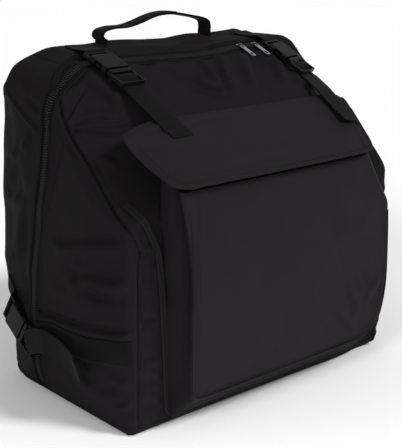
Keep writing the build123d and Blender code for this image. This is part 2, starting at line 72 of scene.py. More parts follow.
def perlin(p):
    p = np.asarray(p, float)
    i = np.floor(p).astype(int)
    f = p - i
    u = f * f * f * (f * (f * 6 - 15) + 10)
    out = np.zeros(len(p))
    for dx in (0, 1):
        for dy in (0, 1):
            for dz in (0, 1):
                h = _perm[(_perm[(_perm[(i[:, 0] + dx) & 255] + i[:, 1] + dy) & 255] + i[:, 2] + dz) & 255]
                g = _grad[h]
                d = f - np.array([dx, dy, dz])
                w = (u[:, 0] if dx else 1 - u[:, 0]) * (u[:, 1] if dy else 1 - u[:, 1]) * (u[:, 2] if dz else 1 - u[:, 2])
                out += w * (g * d).sum(1)
    return out * 1.6


def smooth01(t):
    t = np.clip(t, 0, 1)
    return t * t * (3 - 2 * t)


def zip_y(z):
    return np.interp(z, ZIP[:, 1], ZIP[:, 0])


def along(P, path):
    """Distance to a polyline, share of its length at the nearest point, and the path's direction there."""
    path = np.asarray(path, float)
    seg = path[1:] - path[:-1]
    L = np.linalg.norm(seg, axis=1)
    cum = np.concatenate([[0], np.cumsum(L)])
    best = np.full(len(P), 1e9)
    share = np.zeros(len(P))
    direc = np.zeros((len(P), 3))
    off = np.zeros((len(P), 3))
    for k in range(len(seg)):
        t = np.clip(((P - path[k]) @ seg[k]) / (L[k] ** 2), 0, 1)
        q = path[k] + t[:, None] * seg[k]
        d = np.linalg.norm(P - q, axis=1)
        m = d < best
        best[m] = d[m]
        share[m] = (cum[k] + t[m] * L[k]) / cum[-1]
        direc[m] = seg[k] / L[k]
        off[m] = (P - q)[m]
    return best, share, direc, off


def crease(P, Nn, path, width, depth, skew=0.0, ends=0.25):
    """A fold along a path. depth above 0 is a ridge, below 0 a valley; skew adds a matching
    valley on one side, as a fold that leans over."""
    d, s, direc, off = along(P, path)
    side = (np.cross(direc, Nn) * off).sum(1)
    f = np.exp(-(d / width) ** 2)
    if skew:
        f = f - abs(skew) * np.exp(-((side - math.copysign(1.5, skew) * width) / (width * 0.9)) ** 2) * (d < width * 4)
    taper = smooth01(s / max(ends, 1e-3)) * smooth01((1 - s) / max(ends, 1e-3))
    far = np.exp(-(np.maximum(d - width * 3, 0) / width) ** 2)
    return depth * f * taper * far


def groove(P, path, width, depth, lip=0.35):
    """A sewn seam: a narrow valley with a soft roll on each side."""
    d, s, _, _ = along(P, path)
    return -depth * np.exp(-(d / width) ** 2) + lip * depth * np.exp(-((d - 2.6 * width) / (1.3 * width)) ** 2)


# ------------------------------------------------------------------ mesh helpers
def new_object(name, verts_mm, faces, smooth=True):
    me = bpy.data.meshes.new(name)
    me.from_pydata([tuple(float(c) * MM for c in v) for v in verts_mm], [], [tuple(int(i) for i in f) for f in faces])
    me.validate()
    me.update()
    if smooth:
        me.polygons.foreach_set("use_smooth", [True] * len(me.polygons))
    o = bpy.data.objects.new(name, me)
    COL.objects.link(o)
    return o


def coords(o):
    a = np.zeros(len(o.data.vertices) * 3, np.float32)
    o.data.vertices.foreach_get("co", a)
    return a.reshape(-1, 3).astype(float) / MM


def normals(o):
    a = np.zeros(len(o.data.vertices) * 3, np.float32)
    o.data.vertices.foreach_get("normal", a)
    return a.reshape(-1, 3).astype(float)


def set_coords(o, c):
    o.data.vertices.foreach_set("co", (np.asarray(c, np.float64) * MM).astype(np.float32).ravel())
    o.data.update()


def hull(points_mm, name):
    bm = bmesh.new()
    for p in points_mm:
        bm.verts.new([c * MM for c in p])
    bmesh.ops.convex_hull(bm, input=bm.verts)
    loose = [v for v in bm.verts if not v.link_faces]
    bmesh.ops.delete(bm, geom=loose, context="VERTS")
    me = bpy.data.meshes.new(name)
    bm.to_mesh(me)
    bm.free()
    o = bpy.data.objects.new(name, me)
    COL.objects.link(o)
    return o


def apply_all(o):
    dg = bpy.context.evaluated_depsgraph_get()
    dg.update()
    me = bpy.data.meshes.new_from_object(o.evaluated_get(dg), depsgraph=dg)
    o.modifiers.clear()
    old = o.data
    o.data = me
    bpy.data.meshes.remove(old)


def remesh(o, size_mm):
    m = o.modifiers.new("r", "REMESH")
    m.mode = "VOXEL"
    m.voxel_size = size_mm * MM
    m.use_smooth_shade = True
    apply_all(o)


def edges_of(o):
    e = np.zeros(len(o.data.edges) * 2, np.int32)
    o.data.edges.foreach_get("vertices", e)
    return e.reshape(-1, 2)


def relax(o, times, keep=None, lam=0.5, C=None):
    """Plain Laplacian smoothing; keep is 0..1 per vertex, 1 holds a vertex still."""
    C = coords(o) if C is None else C
    E = edges_of(o)
    n = len(C)
    deg = np.bincount(E.ravel(), minlength=n).astype(float)[:, None]
    w = lam if keep is None else lam * (1 - keep)[:, None]
    for _ in range(times):
        S = np.zeros_like(C)
        for a in range(3):
            S[:, a] = np.bincount(E[:, 0], C[E[:, 1], a], n) + np.bincount(E[:, 1], C[E[:, 0], a], n)
        C = C + w * (S / np.maximum(deg, 1) - C)
    set_coords(o, C)
    return C


def cut(bm, co, no, geom=None):
    geom = geom if geom is not None else bm.verts[:] + bm.edges[:] + bm.faces[:]
    return bmesh.ops.bisect_plane(bm, geom=geom, plane_co=co, plane_no=no, dist=1e-6)


def bevelled(o, width_mm, segments=2, angle=35):
    m = o.modifiers.new("b", "BEVEL")
    m.width = width_mm * MM
    m.segments = segments
    m.limit_method = "ANGLE"
    m.angle_limit = math.radians(angle)


def tube(name, path, radius, sides=8, closed=False, flat=1.0, up=None):
    """A round or oval cord-like strip of mesh along a path (mm)."""
    path = np.asarray(path, float)
    n = len(path)
    T = np.gradient(path, axis=0) if not closed else (np.roll(path, -1, 0) - np.roll(path, 1, 0))
    T /= np.linalg.norm(T, axis=1)[:, None]
    if up is None:
        up = np.tile(np.array([0.0, 0.0, 1.0]), (n, 1))
    up = np.asarray(up, float)
    if up.ndim == 1:
        up = np.tile(up, (n, 1))
    A = np.cross(T, up)
    A /= np.maximum(np.linalg.norm(A, axis=1), 1e-9)[:, None]
    B = np.cross(A, T)
    verts, faces = [], []
    for i in range(n):
        r = radius[i] if hasattr(radius, "__len__") else radius
        for k in range(sides):
            a = 2 * math.pi * k / sides
            verts.append(path[i] + A[i] * math.cos(a) * r + B[i] * math.sin(a) * r * flat)
    m = n if closed else n - 1
    for i in range(m):
        j = (i + 1) % n
        for k in range(sides):
            k2 = (k + 1) % sides
            faces.append((i * sides + k, i * sides + k2, j * sides + k2, j * sides + k))
    if not closed:
        faces.append(tuple(range(sides))[::-1])
        faces.append(tuple((n - 1) * sides + k for k in range(sides)))
    return new_object(name, verts, faces)


def spline(points, n=60, closed=False):
    """Centripetal-like smooth curve through points."""
    P = np.asarray(points, float)
    if closed:
        P = np.vstack([P[-1], P, P[0], P[1]])
    else:
        P = np.vstack([2 * P[0] - P[1], P, 2 * P[-1] - P[-2]])
    out = []
    segs = len(P) - 3
    L = [np.linalg.norm(P[k + 2] - P[k + 1]) for k in range(segs)]
    tot = sum(L)
    for k in range(segs):
        m = max(2, int(round(n * L[k] / tot)))
        p0, p1, p2, p3 = P[k], P[k + 1], P[k + 2], P[k + 3]
        for t in np.linspace(0, 1, m, endpoint=False):
            out.append(0.5 * ((2 * p1) + (-p0 + p2) * t + (2 * p0 - 5 * p1 + 4 * p2 - p3) * t * t + (-p0 + 3 * p1 - 3 * p2 + p3) * t ** 3))
    if not closed:
        out.append(P[-2])
    return np.array(out)


def strap(name, path, wide, width, thick, across=14, edge=0.45, wave=0.0, seed=0, cup=0.0):
    """Webbing: a flat band swept along a path. wide is the direction across it at each point."""
    path = np.asarray(path, float)
    n = len(path)
    W = np.asarray(wide, float)
    if W.ndim == 1:
        W = np.tile(W, (n, 1))
    T = np.gradient(path, axis=0)
    T /= np.linalg.norm(T, axis=1)[:, None]
    W = W - (W * T).sum(1)[:, None] * T
    W /= np.linalg.norm(W, axis=1)[:, None]
    U = np.cross(T, W)
    r = thick / 2
    prof = []
    half = width / 2
    for x in np.linspace(-half + r, half - r, across):
        prof.append((x, r))
    for a in (60, 20, -20, -60):
        prof.append((half - r + r * math.cos(math.radians(a)), r * math.sin(math.radians(a))))
    for x in np.linspace(half - r, -half + r, across):
        prof.append((x, -r))
    for a in (240, 200, 160, 120):
        prof.append((-half + r + r * math.cos(math.radians(a)), r * math.sin(math.radians(a))))
    prof = np.array(prof)
    m = len(prof)
    rs = np.random.RandomState(seed + 11)
    ph = rs.uniform(0, 6.28, 4)
    s = np.linspace(0, 1, n)
    ripple = wave * (np.sin(s * 9 + ph[0]) * 0.6 + np.sin(s * 17 + ph[1]) * 0.4)
    verts, faces = [], []
    for i in range(n):
        lift = ripple[i] + cup * (prof[:, 0] / half) ** 2
        verts.extend(path[i] + np.outer(prof[:, 0], W[i]) + np.outer(prof[:, 1] + lift, U[i]))
    for i in range(n - 1):
        for k in range(m):
            k2 = (k + 1) % m
            faces.append((i * m + k, i * m + k2, (i + 1) * m + k2, (i + 1) * m + k))
    faces.append(tuple(range(m))[::-1])
    faces.append(tuple((n - 1) * m + k for k in range(m)))
    o = new_object(name, verts, faces)
    bm = bmesh.new()
    bm.from_mesh(o.data)
    bmesh.ops.recalc_face_normals(bm, faces=bm.faces)
    bm.to_mesh(o.data)
    bm.free()
    return o


# ------------------------------------------------------------------ materials
def shader(name, colour, rough, metallic=0.0, specular=0.5, sheen=0.0, sheen_rough=0.5, coat=0.0):
    m = bpy.data.materials.new(name)
    m.use_nodes = True
    b = m.node_tree.nodes["Principled BSDF"]
    b.inputs["Base Color"].default_value = (*colour, 1)
    b.inputs["Roughness"].default_value = rough
    b.inputs["Metallic"].default_value = metallic
    b.inputs["Specular IOR Level"].default_value = specular
    b.inputs["Sheen Weight"].default_value = sheen
    b.inputs["Sheen Roughness"].default_value = sheen_rough
    b.inputs["Coat Weight"].default_value = coat
    return m


def node(m, kind, **values):
    n = m.node_tree.nodes.new(kind)
    for k, v in values.items():
        n.inputs[k.replace("_", " ")].default_value = v
    return n


def cloth(name, colour, rough=0.72, sheen=0.35, weave=1.0, mottled=0.25, scale=1.0, specular=0.35):
    """Woven fabric: fine two-way weave and slight unevenness, all from the object's own coordinates."""
    m = shader(name, colour, rough, specular=specular, sheen=sheen, sheen_rough=0.45)
    nt = m.node_tree
    b = nt.nodes["Principled BSDF"]
    tc = nt.nodes.new("ShaderNodeTexCoord")
    big = node(m, "ShaderNodeTexNoise", Scale=14.0 * scale, Detail=3.0)
    fine = node(m, "ShaderNodeTexNoise", Scale=620.0 * scale, Detail=2.0)
    nt.links.new(tc.outputs["Object"], big.inputs["Vector"])
    nt.links.new(tc.outputs["Object"], fine.inputs["Vector"])
    mix = nt.nodes.new("ShaderNodeMix")
    mix.data_type = "RGBA"
    d = mottled
    mix.inputs[6].default_value = (*[c * (1 - d) for c in colour], 1)
    mix.inputs[7].default_value = (*[c * (1 + d) for c in colour], 1)
    add = nt.nodes.new("ShaderNodeMath")
    add.operation = "MULTIPLY_ADD"
    add.inputs[1].default_value = 0.6
    nt.links.new(fine.outputs["Fac"], add.inputs[0])
    sc = nt.nodes.new("ShaderNodeMath")
    sc.operation = "MULTIPLY"
    sc.inputs[1].default_value = 0.4
    nt.links.new(big.outputs["Fac"], sc.inputs[0])
    nt.links.new(sc.outputs[0], add.inputs[2])
    nt.links.new(add.outputs[0], mix.inputs[0])
    nt.links.new(mix.outputs[2], b.inputs["Base Color"])
    # plain weave: crossing threads 1.1 mm apart
    sep = nt.nodes.new("ShaderNodeSeparateXYZ")
    nt.links.new(tc.outputs["Object"], sep.inputs[0])

    def math_(op, a, b2, c=None):
        n = nt.nodes.new("ShaderNodeMath")
        n.operation = op
        for k, v in enumerate((a, b2, c)):
            if v is None:
                continue
            if isinstance(v, (int, float)):
                n.inputs[k].default_value = v
            else:
                nt.links.new(v, n.inputs[k])
        return n.outputs[0]

    freq = 2 * math.pi / 0.0011
    wx = math_("SINE", math_("MULTIPLY", math_("ADD", sep.outputs[0], sep.outputs[1]), freq), 0.0)
    wz = math_("SINE", math_("MULTIPLY", math_("MULTIPLY_ADD", sep.outputs[1], 0.6, sep.outputs[2]), freq), 0.0)
    threads = math_("MULTIPLY_ADD", wx, 0.25, math_("MULTIPLY_ADD", wz, 0.25, fine.outputs["Fac"]))
    dark = nt.nodes.new("ShaderNodeMix")
    dark.data_type = "RGBA"
    dark.blend_type = "MULTIPLY"
    dark.inputs[0].default_value = 0.35 * weave
    nt.links.new(mix.outputs[2], dark.inputs[6])
    lv = math_("MULTIPLY_ADD", math_("MULTIPLY", wx, wz), 0.7, 1.0)
    cmb = nt.nodes.new("ShaderNodeCombineXYZ")
    for k in range(3):
        nt.links.new(lv, cmb.inputs[k])
    nt.links.new(cmb.outputs[0], dark.inputs[7])
    nt.links.new(dark.outputs[2], b.inputs["Base Color"])
    bump = node(m, "ShaderNodeBump", Strength=0.35 * weave, Distance=0.0006)
    nt.links.new(threads, bump.inputs["Height"])
    nt.links.new(bump.outputs["Normal"], b.inputs["Normal"])
    return m


def ribbed(name, colour, pitch_mm, rough=0.66, sheen=0.02, depth=0.5):
    """Webbing: fine noise bump and mottled colour from the object's own coordinates."""
    m = shader(name, colour, rough, specular=0.03, sheen=sheen, sheen_rough=0.5)
    nt = m.node_tree
    b = nt.nodes["Principled BSDF"]
    tc = nt.nodes.new("ShaderNodeTexCoord")
    fine = node(m, "ShaderNodeTexNoise", Scale=900.0, Detail=2.0)
    nt.links.new(tc.outputs["Object"], fine.inputs["Vector"])
    bump = node(m, "ShaderNodeBump", Strength=depth, Distance=0.0006)
    nt.links.new(fine.outputs["Fac"], bump.inputs["Height"])
    nt.links.new(bump.outputs["Normal"], b.inputs["Normal"])
    mix = nt.nodes.new("ShaderNodeMix")
    mix.data_type = "RGBA"
    mix.inputs[6].default_value = (*[c * 0.7 for c in colour], 1)
    mix.inputs[7].default_value = (*[c * 1.3 for c in colour], 1)
    nt.links.new(fine.outputs["Fac"], mix.inputs[0])
    nt.links.new(mix.outputs[2], b.inputs["Base Color"])
    return m


MAT = {
    "shell_fabric": cloth("shell_fabric", (0.0092, 0.0082, 0.0091), rough=0.60, sheen=0.0, mottled=0.14, specular=0.02),
    "back_fabric": cloth("back_fabric", (0.0086, 0.0080, 0.0086), rough=0.78, sheen=0.0, mottled=0.2, specular=0.02),
    "pocket_fabric": cloth("pocket_fabric", (0.0119, 0.0104, 0.0118), rough=0.52, sheen=0.0, mottled=0.09, specular=0.04),
    "foam_padding": cloth("foam_padding", (0.030, 0.030, 0.031), rough=0.9, sheen=0.0, specular=0.05),
    "stiffener_board": shader("stiffener_board", (0.016, 0.016, 0.016), 0.6, specular=0.1),
    "lining_fabric": cloth("lining_fabric", (0.022, 0.022, 0.024), rough=0.55, sheen=0.0, specular=0.08),
    "zipper_tape": cloth("zipper_tape", (0.0074, 0.0074, 0.0076), rough=0.75, sheen=0.0, specular=0.03),
    "zipper_coil": shader("zipper_coil", (0.0068, 0.0071, 0.0072), 0.32, specular=0.22),
    "binding_tape": ribbed("binding_tape", (0.0120, 0.0110, 0.0119), 1.0),
    "hook_and_loop": cloth("hook_and_loop", (0.008, 0.008, 0.008), rough=0.95, sheen=0.0, weave=2.0, specular=0.02),
    "buckle_plastic": shader("buckle_plastic", (0.0034, 0.0035, 0.0042), 0.42, specular=0.11),
    "webbing": ribbed("webbing", (0.0040, 0.0041, 0.0040), 1.2),
    "slider_metal": shader("slider_metal", (0.22, 0.22, 0.23), 0.24, metallic=1.0),
    "pull_metal": shader("pull_metal", (0.55, 0.55, 0.57), 0.18, metallic=1.0),
    "pad_fabric": cloth("pad_fabric", (0.0078, 0.0074, 0.0079), rough=0.8, sheen=0.0, specular=0.02),
}
rows = {s["node"]: s["material_slot"] for s in frame["record"]["subparts"]}
for name, o in NODES.items():
    mat = MAT[rows[name]]
    if not o.material_slots:
        o.data.materials.append(mat)
    for s in o.material_slots:
        s.link = "OBJECT"
        s.material = mat


def finish_piece(o, slot, body, *nodes):
    if not o.data.materials:
        o.data.materials.append(MAT[slot])
    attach(o, body)
    if nodes:
        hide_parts(*nodes)
    return o


# ------------------------------------------------------------------ the shell, one soft form cut along its seams
SHELL_NODES = ["base_panel", "lower_front_panel", "left_side_panel", "right_side_panel",
               "upper_front_panel", "back_panel", "rim_panel"]
pts = np.vstack([coords(NODES[n]) for n in SHELL_NODES])
shell = hull(pts, "shell_form")
VOX = 2.3
remesh(shell, VOX)
C = coords(shell)
hold = 0.94 * smooth01((17 - C[:, 2]) / 7.0)
C = relax(shell, 7, keep=hold)
# a packed soft case stands full at its back corners and is drawn in where the side straps cross them
for sd in (-1, 1):
    near = np.exp(-(((C[:, 0] * sd - 258) / 30) ** 2 + ((C[:, 1] - 146) / 34) ** 2))
    swell = np.interp(C[:, 2], [40, 88, 112, 136, 162, 187, 212, 237, 262, 287, 311, 335, 360, 383, 406, 430, 453, 480],
                      [0, -3, 0, 5, 8, 12, 10, 8, 7, 9, 9, 7, 5, 1.5, -3, -5, -3, 0])
    C[:, 0] += sd * 0.75 * swell * near
    C[:, 1] += 0.66 * swell * near
right = 29.0 * smooth01((C[:, 0] - 203) / 34) * np.exp(-((C[:, 2] - 462) / 46) ** 2) * smooth01((C[:, 1] + 16) / 60) * (1 - 0.55 * smooth01((C[:, 1] - 70) / 80))
C[:, 0] += 0.50 * right
C[:, 2] += 0.84 * right
crown = smooth01((C[:, 2] - 452) / 34) * smooth01((C[:, 1] - 70) / 60)
C[:, 2] += crown * (4.5 + 7.5 * np.exp(-((C[:, 0] - 205) / 52) ** 2))
set_coords(shell, C)
N0 = normals(shell)


def seam_x(z):
    return 239.0 + 8.0 * np.clip(1 - z / 290.0, 0, 1)


def shell_field(P, Nn):
    """How far each point of the shell moves along its normal, in mm."""
    x, y, z = P.T
    out = np.zeros(len(P))
    s = y - zip_y(z)
    above = smooth01((z - 14) / 30)
    # slow unevenness of padded fabric
    out += 3.2 * perlin(P / 100.0 + 3.1) * above
    out += 1.6 * perlin(P / np.array([44.0, 44.0, 62.0]) + 11.7) * above
    out += 0.22 * perlin(P / 17.0 + 5.2) * above
    left = (x < -200)
    right = (x > 200)
    # side walls: soft swell between the zipper and the front corner, and behind the zipper
    sides = smooth01((np.abs(Nn[:, 0]) - 0.7) / 0.25)
    out += sides * 2.2 * np.exp(-((z - 190) / 120) ** 2) * np.exp(-((y + 45) / 60) ** 2)
    # zipper lies in a shallow channel with a rolled edge on each side
    ch = np.abs(s)
    zone = smooth01((z - 6) / 10)
    out += zone * (-1.3 * np.exp(-(ch / 12.2) ** 8) + 1.0 * np.exp(-((ch - 16.0) / 3.4) ** 2))
    # sewn seams
    for sd in (-1, 1):
        p = [(sd * 239, -149, 262), (sd * 243, -149, 227), (sd * 244, -149, 198), (sd * 245, -149, 141), (sd * 246, -149, 83), (sd * 247, -149, 14)]
        out += groove(P, p, 1.9, 3.2, 0.5)
        # sloping seam between the side wall and the corner slope
        p2 = [(sd * 252, -10, 410), (sd * 254, -17, 402), (sd * 254, -38, 384), (sd * 254, -64, 363), (sd * 255, -85, 343),
              (sd * 256, -101, 329), (sd * 256, -121, 311), (sd * 254, -137, 298), (sd * 250, -146, 287), (sd * 243, -149, 270), (sd * 240, -149, 256)]
        out += groove(P, p2, 1.9, 3.4, 0.5)
        # seam that leaves the zipper at the crown and comes down to the same point
        p3 = [(sd * 176, 58, 494), (sd * 196, 54, 492), (sd * 216, 45, 481), (sd * 230, 35, 467), (sd * 244, 19, 444), (sd * 251, 4, 425), (sd * 253, -10, 409)]
        out += groove(P, p3, 1.9, 3.2, 0.5)
        p4 = [(sd * 254, -11, 408), (sd * 262, -7, 382), (sd * 265, 1, 357), (sd * 269, 12, 318), (sd * 271, 26, 280)]
        out += crease(P, Nn, p4, 2.6, 1.6, 0.9 * sd, 0.15)
    # base seam, a rolled hem round the bottom
    zb = np.exp(-((z - 12.0) / 2.4) ** 2)
    out += (-1.4 * zb + 0.9 * np.exp(-((z - 19.0) / 4.0) ** 2)) * (np.abs(Nn[:, 2]) < 0.9)
    # back panel's sewn edge
    bp = [(-236, 160, 14), (-236, 166, 200), (-236, 163, 380), (-228, 156, 462), (-150, 152, 474),
          (0, 151, 476), (150, 152, 474), (228, 156, 462), (236, 163, 380), (236, 166, 200), (236, 160, 14)]
    out += groove(P, bp, 2.4, 2.0)

    # puckers in the strip beside the pocket, left and right
    for sd in (-1, 1):
        strip = np.exp(-((np.abs(x) - 226) / 14) ** 4) * (y < -138) * (np.sign(x) == sd)
        for zc, a, wd in ((262, 1.5, 6), (247, -1.5, 5), (224, -1.0, 8), (205, 1.1, 8), (172, 1.4, 7), (158, -1.4, 6),
                          (120, 1.0, 8), (103, -1.1, 7), (84, 1.2, 7), (66, -1.0, 6), (47, 1.2, 8), (30, -0.8, 6)):
            out += strip * 3.6 * a * np.exp(-((z - zc - 0.25 * (np.abs(x) - 227)) / wd) ** 2)
        # short gathers beside the corner seam on the side wall
        gat = np.exp(-((y + 138) / 13) ** 2) * (np.sign(x) == sd) * (np.abs(x) > 246)
        for zc, a, wd in ((268, 1.1, 6), (236, -1.0, 7), (214, 1.0, 7), (186, 0.9, 6), (140, -0.8, 7), (70, 1.1, 6),
                          (58, -0.9, 5), (44, 1.2, 7), (28, -0.9, 5)):
            out += gat * 1.7 * a * np.exp(-((z - zc) / wd) ** 2)

    def fold(path, w, d, sk=0.0, ends=0.25):
        nonlocal out
        out = out + crease(P, Nn, path, w, d * 2.6, sk, ends)

    for sd in (-1, 1):
        # pleat where the side strap pulls, above the strap band
        fold([(sd * 272, 60, 122), (sd * 272, 13, 131), (sd * 272, -25, 133), (sd * 270, -80, 138), (sd * 262, -122, 143), (sd * 250, -149, 149)], 5.0, 2.6, 0.9 * sd, 0.1)
        # broad soft folds on the side wall
        fold([(sd * 272, 10, 236), (sd * 270, -80, 260), (sd * 254, -144, 271)], 9, 2.6, 0.7 * sd, 0.2)
        fold([(sd * 272, -40, 236), (sd * 266, -100, 236), (sd * 257, -138, 244)], 9, -1.8, 0.0)
        fold([(sd * 272, -22, 192), (sd * 270, -78, 209), (sd * 261, -124, 213), (sd * 254, -146, 226)], 9, 2.4, 0.7 * sd, 0.2)
        fold([(sd * 272, 30, 172), (sd * 272, -55, 181), (sd * 261, -123, 174)], 12, 2.0, 0.5 * sd)
        fold([(sd * 272, -20, 222), (sd * 266, -90, 194), (sd * 259, -134, 190)], 8, -1.6, 0.0)
        fold([(sd * 272, -30, 66), (sd * 266, -95, 48), (sd * 258, -140, 56)], 8, 1.6, 0.6 * sd)
        fold([(sd * 266, -90, 90), (sd * 260, -125, 74), (sd * 256, -144, 78)], 6, 1.6, 0.7 * sd)
        fold([(sd * 262, -118, 36), (sd * 257, -140, 44), (sd * 254, -147, 52)], 5, 1.5, 0.7 * sd)
        # the side seam tucks under itself where it meets the front corner
        fold([(sd * 256, -132, 303), (sd * 252, -141, 292), (sd * 250, -146, 276), (sd * 247, -149, 254)], 3.6, -2.6, 0.0, 0.2)
        fold([(sd * 255, -116, 322), (sd * 248, -134, 306), (sd * 241, -148, 280)], 5.0, 2.2, 0.0, 0.2)
        # creases over the corner slope, running from the point where the seams meet
        fold([(sd * 251, -8, 412), (sd * 240, -6, 422), (sd * 229, -3, 434), (sd * 205, 6, 454)], 3.4, 1.5, 1.0 * sd, 0.12)
        fold([(sd * 253, -14, 405), (sd * 234, -37, 404), (sd * 209, -54, 401), (sd * 190, -66, 404)], 2.6, -1.7, 0.0, 0.10)
        fold([(sd * 252, -12, 408), (sd * 232, -28, 410), (sd * 208, -44, 410), (sd * 180, -56, 414)], 3.6, 1.9, 0.0, 0.10)
        fold([(sd * 252, -10, 410), (sd * 244, -18, 413), (sd * 226, -26, 419), (sd * 204, -36, 420)], 2.4, -1.4, 0.0, 0.12)
        fold([(sd * 240, -20, 424), (sd * 214, -30, 428), (sd * 188, -44, 424)], 9, 1.6, 0.6 * sd)
        fold([(sd * 254, -50, 380), (sd * 240, -70, 376), (sd * 226, -92, 366)], 8, 1.6, 0.6 * sd)
        # piped ridge down the back corner and the soft folds beside it
        fold([(sd * 246, 148, 446), (sd * 253, 136, 439), (sd * 258, 101, 422), (sd * 260, 63, 403), (sd * 262, 50, 394)], 2.6, 1.6, 0.35 * sd, 0.1)
        fold([(sd * 262, 66, 392), (sd * 262, 88, 372), (sd * 258, 118, 356), (sd * 250, 146, 350)], 8, 2.2, 0.7 * sd, 0.15)
        fold([(sd * 264, 70, 300), (sd * 262, 96, 288), (sd * 256, 124, 284), (sd * 248, 148, 290)], 10, 2.0, -0.6 * sd, 0.15)
        fold([(sd * 266, 74, 226), (sd * 264, 98, 214), (sd * 256, 130, 200)], 9, -1.2, 0.0, 0.15)
        fold([(sd * 253, 88, 441), (sd * 256, 64, 435), (sd * 257, 44, 426)], 6, -1.6, 0.0)
        fold([(sd * 250, 120, 454), (sd * 252, 84, 446), (sd * 254, 52, 440)], 6, 1.2, 0.0)
        fold([(sd * 262, 100, 330), (sd * 266, 110, 250), (sd * 262, 118, 180)], 16, 1.6, 0.4 * sd)
        fold([(sd * 266, 92, 386), (sd * 264, 108, 344), (sd * 262, 120, 300)], 9, -1.6, 0.0)
        fold([(sd * 270, 76, 300), (sd * 266, 96, 262), (sd * 264, 108, 210)], 9, 1.4, 0.6 * sd)
        fold([(sd * 268, 96, 190), (sd * 268, 84, 160), (sd * 270, 72, 132)], 9, -1.4, 0.0)
    # a square patch sewn on the crown's corner
    for sd in (-1, 1):
        mask = (x * sd > 205) & (z > 448)
        t = (y - 52) / 76.0
        lo_z = 459 + 2 * t
        inside = smooth01((y - 54) / 3.0) * smooth01((130 - y) / 3.0) * smooth01((z - lo_z) / 2.0) * smooth01((485 + 8 * t - z) / 3.0)
        out += np.where(mask, 1.6 * inside - 6.5 * inside * (1 - inside), 0.0)

    corner = np.exp(-((np.abs(x) - 252) / 22) ** 2 - ((z - 452) / 26) ** 2) * smooth01((y - 90) / 50)
    out += 3.0 * corner
    # slope: a dimple and a few drawn lines
    fold([(-60, 14, 474), (-36, -10, 462), (-14, -32, 448), (4, -50, 437)], 10, 3.2, 0.7, 0.2)
    fold([(10, 30, 484), (14, 2, 470), (8, -26, 452), (-2, -46, 440)], 8, 3.0, -0.8, 0.2)
    fold([(60, 34, 486), (48, 0, 468), (26, -28, 450)], 10, 2.6, 0.5)
    fold([(110, 30, 482), (92, 0, 466), (78, -30, 448), (60, -56, 432)], 13, 2.8, -0.6)
    fold([(-120, -60, 430), (-128, -30, 444), (-122, 4, 464)], 10, 2.4, 0.5)
    fold([(-100, 40, 486), (-74, 16, 476), (-40, -2, 466), (-6, -10, 462)], 9, -2.6, 0.0)
    fold([(-200, 30, 474), (-180, -6, 452), (-176, -36, 436)], 11, 2.6, 0.5)
    fold([(160, 10, 466), (150, -20, 452), (130, -50, 436)], 11, 2.4, 0.5)
    fold([(130, 40, 488), (128, 10, 474), (112, -16, 458)], 10, -2.2, 0.0)
    fold([(-30, 30, 482), (-24, 6, 470), (-34, -20, 456), (-52, -44, 442)], 12, -2.4, 0.0)
    fold([(200, -6, 452), (176, -26, 444), (168, -56, 426)], 10, 2.4, 0.6)
    out += -5.0 * np.exp(-(((x + 3) / 12) ** 2 + ((y + 49) / 9) ** 2)) * (z > 400)
    # top edge in front of the zipper sags between the straps
    out += -4.0 * np.exp(-(((x - 0) / 75) ** 2 + ((y - 40) / 24) ** 2)) * (z > 440)
    out += -2.0 * np.exp(-(((x - 5) / 90) ** 2 + ((y - 86) / 26) ** 2)) * (z > 470)
    out += 2.2 * np.exp(-(((x - 132) / 40) ** 2 + ((y - 62) / 26) ** 2)) * (z > 470)
    fold([(-60, 70, 499), (-20, 62, 497), (30, 64, 497), (80, 60, 497)], 6, 1.6, 0.6)
    fold([(-100, 60, 496), (-60, 54, 495), (-20, 52, 493)], 5, -1.4, 0.5)
    fold([(20, 78, 499), (60, 84, 499), (100, 78, 499)], 6, 1.2, 0.5)
    return out


disp = shell_field(C, N0)
disp = np.where(disp < 0, -4.4 * np.tanh(-disp / 4.4), 8.0 * np.tanh(disp / 8.0)) + 1.2
disp *= smooth01((C[:, 2] - 2.5) / 6.0)
P1 = C + N0 * disp[:, None]
P1[:, 2] = np.where(C[:, 2] < 1.2, 0.0, np.maximum(P1[:, 2], 0.0))
set_coords(shell, P1)

# cut along the base, the zipper and the seams, then share the faces out to the panels
bm = bmesh.new()
bm.from_mesh(shell.data)
cut(bm, (0, 0, 10.0 * MM), (0, 0, 1))
cut(bm, (0, 0, 10.7 * MM), (0, 0, 1))
for v in bm.verts:
    v.co.y -= float(zip_y(v.co.z / MM)) * MM
for d in (-13.0, -12.0, -0.4, 0.4, 12.0, 13.0):
    up = [f for f in bm.faces if f.calc_center_median().z > 10.65 * MM and abs(f.calc_center_median().y - d * MM) < 16 * MM]
    geom = list({v for f in up for v in f.verts}) + list({e for f in up for e in f.edges}) + up
    cut(bm, (0, d * MM, 0), (0, 1, 0), geom)
for v in bm.verts:
    v.co.y += float(zip_y(v.co.z / MM)) * MM
sn = Vector((0, -0.597, 0.802)).normalized()


def cut_where(test, co, no):
    sel = [f for f in bm.faces if test(f.calc_center_median() / MM)]
    cut(bm, [c * MM for c in co], Vector(no).normalized(), list({v for f in sel for v in f.verts}) + list({e for f in sel for e in f.edges}) + sel)


